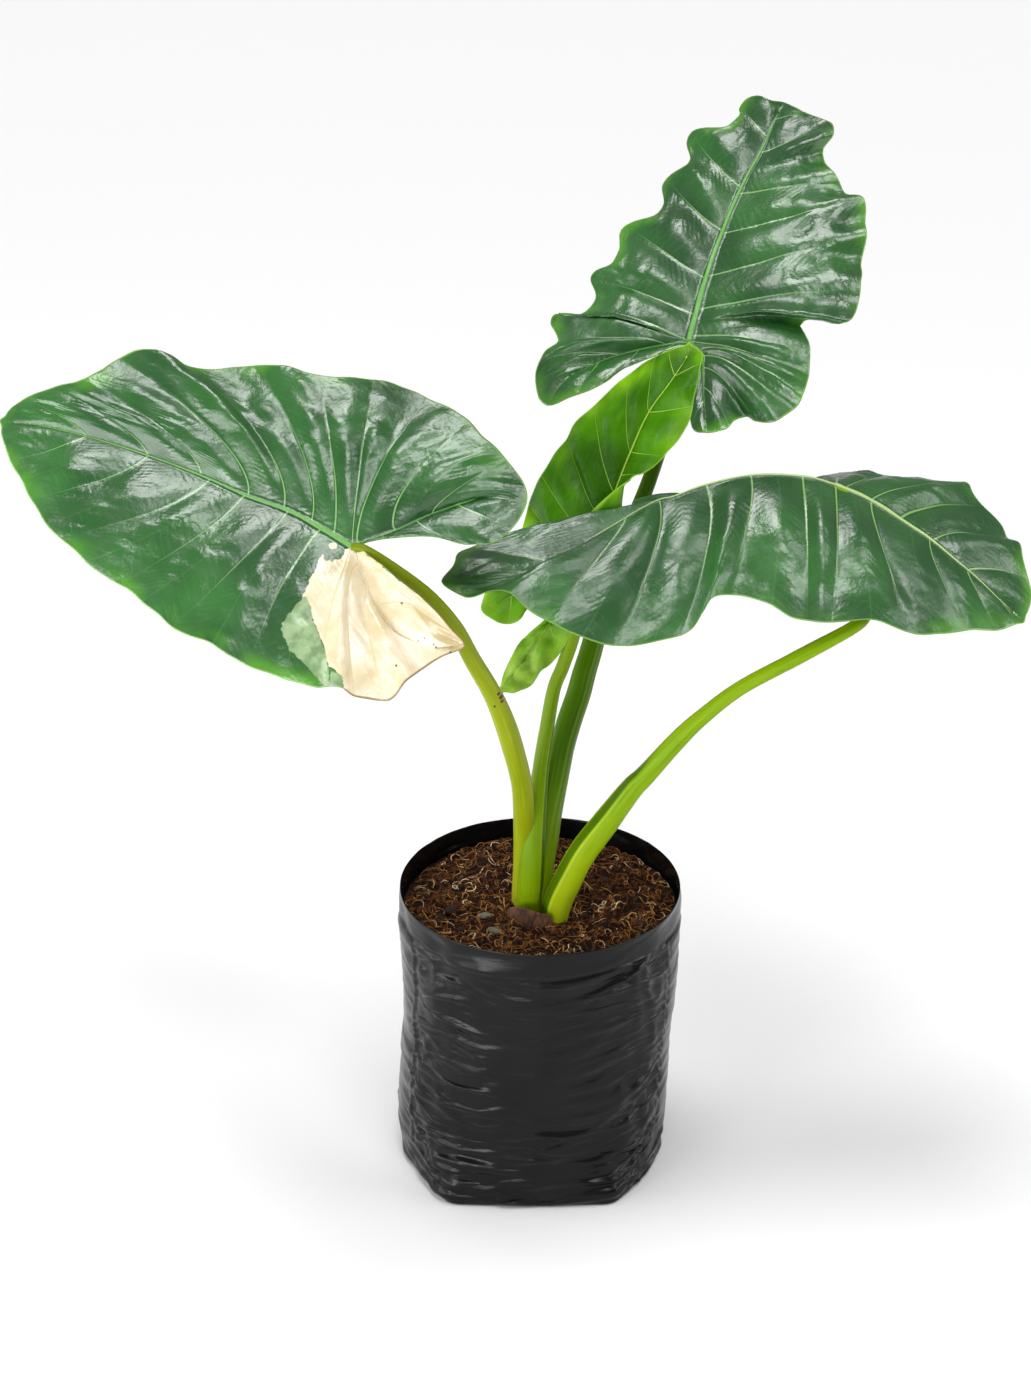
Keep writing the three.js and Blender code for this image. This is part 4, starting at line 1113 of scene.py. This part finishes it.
def coir_fibres(draw, count, steps=6):
    """Curly coir fibres that lie on the crumbs, as three-sided threads."""
    x, y = scatter(draw, count, FIBRE_CLEAR).T
    heading = draw.uniform(0, 2 * np.pi, count)
    bend = draw.normal(0, 0.7, count)
    length = draw.uniform(7, 26, count)
    thick = draw.uniform(0.25, 0.8, count) * draw.uniform(0.6, 1, count)
    arch = draw.uniform(0.2, 3.2, count)
    points = np.zeros((count, steps + 1, 3))
    for k in range(steps + 1):
        inside = np.minimum(1, FIBRE_REACH / np.maximum(np.hypot(x, y), 1))
        rise = arch * np.sin(np.pi * k / steps) + 0.5
        points[:, k] = np.stack([x * inside, y * inside, soil_height(x * inside, y * inside) + rise], -1)
        heading = heading + bend + draw.normal(0, 0.22, count)
        x, y = x + np.cos(heading) * length / steps, y + np.sin(heading) * length / steps
    way = unit(np.gradient(points, axis=1))
    side = unit(np.cross(way, np.array([0, 0, 1.0])))
    over = np.cross(side, way)
    taper = np.sin(np.pi * (np.arange(steps + 1) + 0.6) / (steps + 1.2))[None, :, None] ** 0.5
    rings = [points + (side * math.cos(a) + over * math.sin(a)) * thick[:, None, None] * taper
             for a in (0.5, 0.5 + 2.094, 0.5 + 4.189)]
    firsts, last = np.arange(count) * (steps + 1) * 3, steps * 3
    faces = [(k + a, k + a + 3, k + b + 3, k + b)
             for k in range(0, last, 3) for a, b in ((0, 1), (1, 2), (2, 0))]
    corners = (np.array(faces)[None] + firsts[:, None, None]).reshape(-1, 4).tolist()
    caps = [[n + i for i in ids] for n in firsts.tolist() for ids in ((0, 1, 2), (last + 2, last + 1, last))]
    tints = np.repeat(draw.random(count) ** 0.8, (steps + 1) * 3)
    return loose_mesh("fibres", np.stack(rings, axis=2), corners + caps, tints, 1.0)


def small_shape(kind):
    """Points and faces of a small primitive, 1 mm across, for copies."""
    bpy.ops.object.select_all(action="DESELECT")
    if kind == "chip":
        bpy.ops.mesh.primitive_cylinder_add(vertices=5, radius=0.5, depth=1, end_fill_type="TRIFAN")
        bpy.ops.object.mode_set(mode="EDIT")
        bpy.ops.mesh.quads_convert_to_tris()
        bpy.ops.object.mode_set(mode="OBJECT")
    else:
        bpy.ops.mesh.primitive_ico_sphere_add(subdivisions=2 if kind == "stone" else 1, radius=0.5)
    shape = bpy.context.object
    points = np.array([v.co[:] for v in shape.data.vertices])
    points *= 1 + 0.18 * ripples(points * 10, 7, 61)[:, None]
    faces = [tuple(p.vertices) for p in shape.data.polygons]
    bpy.data.objects.remove(shape)
    return points, faces


def build_mix(settings):
    """Coir mix: a crumbled body with chips of husk, curly fibres and a few stones on it."""
    body = soil_body()
    draw = np.random.default_rng(settings.seed)
    pieces = [body, coir_fibres(draw, settings.fibres)]
    for kind, count, low, high, flat in HUSK:
        points, faces = small_shape(kind)
        spots = scatter(draw, count, HUSK_CLEAR)
        size = draw.uniform(low, high, (count, 3)) * np.array([1, 0.6, flat])
        places = np.column_stack([spots, soil_height(*spots.T) + size[:, 2] * 0.25])
        turns = [draw.normal(0, 0.45, count), draw.normal(0, 0.45, count), draw.uniform(0, 6.28, count)]
        turns = np.stack(turns, -1)
        pieces.append(many_copies(kind, points, faces, places, turns, size, draw.random(count), 2.0))
    points, faces = small_shape("stone")
    stones = np.array(STONES)
    places = np.column_stack([stones[:, :2], soil_height(*stones[:, :2].T) + stones[:, 4] * 0.3])
    turns = np.column_stack([np.zeros((len(stones), 2)), stones[:, 5]])
    pieces.append(many_copies("stones", points, faces, places, turns, stones[:, 2:5], stones[:, 6], 3.0))
    bpy.ops.object.select_all(action="DESELECT")
    for piece in pieces:
        piece.select_set(True)
    bpy.context.view_layer.objects.active = body
    bpy.ops.object.join()
    return body


def mix_finish():
    """Coir and husk mix: dry, matt and rough, with painted shade in the hollows between the crumbs, and
    straw-coloured fibres.
    """
    finish, node = new_finish("coir_potting_mix")
    tint, kind = (node("attribute", attribute_name=k) for k in ("tint", "kind"))
    # The crumbs' bump height also sets the earth's colour: near black in its hollows, as painted shade
    crumbs = node("noise", node("place"), 260.0, 4.0, 0.7)
    body = None
    for number, stops in enumerate(MIX_COLOURS):
        colour = node("ramp", tint if number else crumbs)
        elements = colour.node.color_ramp.elements
        while len(elements) < len(stops):
            elements.new(0.5)
        for element, (at, code) in zip(elements, stops):
            element.position = at
            element.color = linear(code)
        body = node("mix", node("greater_than", kind, number - 0.5), body, colour) if number else colour
    return fill_shader(finish, {
        "Base Color": body, "Roughness": 0.9, "Specular IOR Level": 0.25,
        "Normal": node("bump", crumbs, 0.8, 0.0015)})


# Stem and dry scale leaf


def build_stem():
    """The short corky stem: ringed by old leaf scars, mostly in the mix."""
    angle = np.linspace(0, 2 * np.pi, 72, endpoint=False)
    profile = [(0, STEM_FOOT), (STEM_RADIUS * 0.55, STEM_FOOT), (STEM_RADIUS * 0.9, STEM_FOOT + 18)]
    profile += [(STEM_RADIUS * (0.93 + 0.05 * abs(math.sin(z * 0.42))), STEM_FOOT + z)
                for z in range(22, 52, 2)]
    profile += [(STEM_RADIUS * 0.9, STEM_TOP - 1.5), (STEM_RADIUS * 0.6, STEM_TOP), (0, STEM_TOP)]
    rows = []
    for radius, z in profile:
        reach = radius * (1 + 0.03 * np.sin(angle * 7 + z * 0.3) + 0.02 * np.sin(angle * 17))
        rows.append(ring_at(np.minimum(reach, STEM_RADIUS), angle, z, STEM_CENTRE))
    return sheet_piece("corky_stem", np.array(rows))


def build_scale_leaf():
    """A dry papery scale leaf that wraps the front of the stem, torn along its top."""
    share = np.linspace(0, 1, 90)
    start, stop = SCALE_LEAF_ANGLES
    angle = np.radians(start + (stop - start) * share)
    foot = SOIL_TOP + SOIL_MOUND + SEAT_GAP - 2
    torn = 1 - 0.05 * np.cos(share * 8) - 0.008 * np.sin(share * 50)
    height = SCALE_LEAF_HEIGHT * (0.5 + 0.5 * np.sin(np.pi * share) ** 0.5) * (1 - 0.16 * share) * torn
    rows = []
    for up in np.linspace(0, 1, 14):
        wave = 0.06 * np.sin(share * 40 + up * 3) + 0.25 * np.sin(share * 9 + 2 * up)
        radius = STEM_RADIUS + 0.7 + 2.4 * up * np.sin(np.pi * share) + wave * up
        rows.append(ring_at(radius, angle, foot + height * up, STEM_CENTRE))
    piece = sheet_piece("dry_scale_leaf", np.array(rows), wrap=False)
    apply_modifier(piece, "SOLIDIFY", thickness=SCALE_LEAF_THICKNESS * MM, offset=0)
    return piece


def bark_finish(name, dark, light, stretch, bumps):
    """Dead plant tissue, dry and matt: fibres along it show as fine lighter lines."""
    finish, node = new_finish(name)
    place = node("place")
    grain = node("noise", node("scaled", place, stretch), 420.0, 4.0)
    tone = node("multiply", grain, node("noise", place, 90.0, 3.0))
    return fill_shader(finish, {
        "Base Color": node("mix", node("span", tone, 0.15, 0.38), dark, light), "Roughness": 0.8,
        "Normal": node("bump", grain, bumps, 0.0008)})


# Settings, operators and panel


class AlocasiaBladeSettings(bpy.types.PropertyGroup):
    thickness: FloatProperty(name="Thickness", description="Thickness of the blades", default=0.0011,
                             min=0.0004, unit="LENGTH", precision=4)
    vein_width: FloatProperty(name="Vein half width", description="Half width of a side vein at its rib",
                              default=0.0009, unit="LENGTH", precision=4)
    quilt: FloatProperty(name="Quilting", description="Swelling between the side veins", default=1.35)
    pucker: FloatProperty(name="Puckers", description="Height of the pillows between the veins",
                          default=0.0011, unit="LENGTH", precision=5)
    crumple: FloatProperty(name="Crumple", description="Height of the soft crumple", default=0.0009,
                           unit="LENGTH", precision=5)


class AlocasiaStalkSettings(bpy.types.PropertyGroup):
    unevenness: FloatProperty(name="Unevenness", description="Relief of the skin as a share of the radius",
                              default=0.018, subtype="FACTOR")


class AlocasiaBagSettings(bpy.types.PropertyGroup):
    film: FloatProperty(name="Film", description="Thickness of the film", default=0.0008, unit="LENGTH",
                        precision=4)
    wrinkle_depth: FloatProperty(name="Wrinkles", description="Depth of the level wrinkles", default=0.0029,
                                 unit="LENGTH", precision=4)
    colour: FloatVectorProperty(name="Colour", description="Colour of the film", size=3, subtype="COLOR",
                                default=linear("#070708")[:3])


class AlocasiaMixSettings(bpy.types.PropertyGroup):
    fibres: IntProperty(name="Fibres", description="Number of coir fibres", default=2500, min=1)
    seed: IntProperty(name="Seed", description="Seed of the scattered crumbs and fibres", default=7)


class AlocasiaStageSettings(bpy.types.PropertyGroup):
    floor: FloatProperty(name="Floor", description="Side of the floor", default=30.0, unit="LENGTH")
    key: FloatProperty(name="Key light", description="Power of the lamps", default=1.0)
    sky: FloatProperty(name="Room light", description="Strength of the even light", default=0.26)


class ALOCASIA_OT_bag(bpy.types.Operator):
    """Makes the black film bag"""
    bl_idname = "alocasia.bag"
    bl_label = "Grow Bag"

    def execute(self, context):
        settings = context.scene.alocasia_bag
        piece = build_bag(settings)
        piece.data.materials.append(film_finish(settings))
        settle(piece, "grow_bag")
        return {"FINISHED"}


class ALOCASIA_OT_mix(bpy.types.Operator):
    """Makes the coir mix with its fibres, chips and stones"""
    bl_idname = "alocasia.mix"
    bl_label = "Potting Mix"

    def execute(self, context):
        piece = build_mix(context.scene.alocasia_mix)
        piece.data.materials.append(mix_finish())
        settle(piece, "potting_mix")
        return {"FINISHED"}


class ALOCASIA_OT_stem(bpy.types.Operator):
    """Makes the corky stem and the dry scale leaf round it"""
    bl_idname = "alocasia.stem"
    bl_label = "Stem"

    def execute(self, context):
        stem = build_stem()
        stem.data.materials.append(bark_finish("corky_stem_skin", "#3f2f18", "#7c6a3c", (1, 1, 2.5), 0.7))
        settle(stem, "stem_base")
        scale = build_scale_leaf()
        skin = bark_finish("dry_scale_leaf_skin", "#2e1a10", "#6d472b", (2, 2, 0.25), 0.5)
        scale.data.materials.append(skin)
        settle(scale, "dry_sheath")
        return {"FINISHED"}


class ALOCASIA_OT_stalks(bpy.types.Operator):
    """Makes the four leaf stalks"""
    bl_idname = "alocasia.stalks"
    bl_label = "Leaf Stalks"

    def execute(self, context):
        settings = context.scene.alocasia_stalk
        for name, data in PETIOLES.items():
            piece = build_stalk(name, data, settings)
            line = np.array(data["line"], float)
            length = float(np.linalg.norm(np.diff(line, axis=0), axis=1).sum())
            scars = STALK_SCARS if name == "left" else ()
            skin = stalk_finish(f"stalk_skin_{name}", STALK_COLOURS[name], length, scars)
            piece.data.materials.append(skin)
            settle(piece, f"petiole_{name}")
        return {"FINISHED"}


class ALOCASIA_OT_blades(bpy.types.Operator):
    """Makes the four leaf blades"""
    bl_idname = "alocasia.blades"
    bl_label = "Leaf Blades"

    def execute(self, context):
        settings = context.scene.alocasia_blade
        for name, leaf in LEAVES.items():
            piece = build_blade(name, leaf, settings)
            upper = {"young": YOUNG_LEAF, "right": DROOPING_LEAF}.get(name, DARK_LEAF)
            under = UNDER_YOUNG if name == "young" else UNDER_DARK
            pale = name == "left"
            for side, palette in (("upper", upper), ("under", under), ("margin", under)):
                piece.data.materials.append(leaf_finish(f"leaf_{side}_{name}", palette, pale))
            settle(piece, f"blade_{name}")
        return {"FINISHED"}


def add_light(name, kind, place, way, **values):
    """A lamp of a kind at a place, turned so that its light comes from a direction."""
    bpy.ops.object.light_add(type=kind, location=place)
    light = bpy.context.object
    light.name = name
    light.rotation_euler = Vector(way).to_track_quat("Z", "Y").to_euler()
    for key, value in values.items():
        setattr(light.data, key, value)


class ALOCASIA_OT_stage(bpy.types.Operator):
    """Makes the pale floor, the soft lights and the camera"""
    bl_idname = "alocasia.stage"
    bl_label = "Stage"

    def execute(self, context):
        settings = context.scene.alocasia_stage
        bpy.ops.object.select_all(action="DESELECT")
        bpy.ops.mesh.primitive_plane_add(size=settings.floor)
        floor = context.object
        floor.name = "pale_floor"
        # Matt white paint, pale and almost without gloss
        finish, _ = new_finish("white_painted_floor")
        values = {"Base Color": "#ebebeb", "Roughness": 0.95, "Specular IOR Level": 0.1}
        floor.data.materials.append(fill_shader(finish, values))
        world = bpy.data.worlds.new("soft_room")
        world.use_nodes = True
        sky = world.node_tree.nodes["Background"]
        connect(world.node_tree, sky, {"Color": "#ffffff", "Strength": settings.sky})
        context.scene.world = world
        for name, way, spread, power in SUNS:
            add_light(name, "SUN", (0, 0, 3), way, energy=power * settings.key, angle=math.radians(spread))
        for name, place, aim, (size, size_y), power in SOFTBOXES:
            add_light(name, "AREA", place, Vector(place) - Vector(aim), shape="RECTANGLE", size=size,
                      size_y=size_y, energy=power * settings.key)
        bpy.ops.object.camera_add(location=[c * MM for c in CAMERA_PLACE],
                                  rotation=(math.radians(90 - CAMERA_PITCH), 0, 0))
        camera = context.object
        camera.name = "front_view"
        camera.data.sensor_width = SENSOR
        camera.data.lens = CAMERA_FOCAL * SENSOR / FRAME_SIZE[1]
        camera.data.clip_end = 100
        context.scene.camera = camera
        context.scene.view_settings.view_transform = "Standard"
        return {"FINISHED"}


class ALOCASIA_PT_panel(bpy.types.Panel):
    """Lists the pieces and their settings"""
    bl_label = "Alocasia"
    bl_idname = "ALOCASIA_PT_panel"
    bl_space_type = "VIEW_3D"
    bl_region_type = "UI"
    bl_category = "Alocasia"

    def draw(self, context):
        for operator, group in PANEL_ROWS:
            self.layout.operator(operator.bl_idname)
            settings = getattr(context.scene, group, None) if group else None
            for name in settings.__annotations__ if settings else ():
                self.layout.prop(settings, name)


SETTINGS = {
    "alocasia_blade": AlocasiaBladeSettings,
    "alocasia_stalk": AlocasiaStalkSettings,
    "alocasia_bag": AlocasiaBagSettings,
    "alocasia_mix": AlocasiaMixSettings,
    "alocasia_stage": AlocasiaStageSettings,
}
PANEL_ROWS = [
    (ALOCASIA_OT_stage, "alocasia_stage"),
    (ALOCASIA_OT_bag, "alocasia_bag"),
    (ALOCASIA_OT_mix, "alocasia_mix"),
    (ALOCASIA_OT_stem, None),
    (ALOCASIA_OT_stalks, "alocasia_stalk"),
    (ALOCASIA_OT_blades, "alocasia_blade"),
]
CLASSES = [*SETTINGS.values(), *(operator for operator, _ in PANEL_ROWS), ALOCASIA_PT_panel]


def register():
    for item in CLASSES:
        bpy.utils.register_class(item)
    for name, group in SETTINGS.items():
        setattr(bpy.types.Scene, name, PointerProperty(type=group))


def unregister():
    for name in SETTINGS:
        delattr(bpy.types.Scene, name)
    for item in reversed(CLASSES):
        bpy.utils.unregister_class(item)


def main():
    register()
    bpy.ops.alocasia.stage()
    bpy.ops.alocasia.bag()
    bpy.ops.alocasia.mix()
    bpy.ops.alocasia.stem()
    bpy.ops.alocasia.stalks()
    bpy.ops.alocasia.blades()


if __name__ == "__main__":
    main()
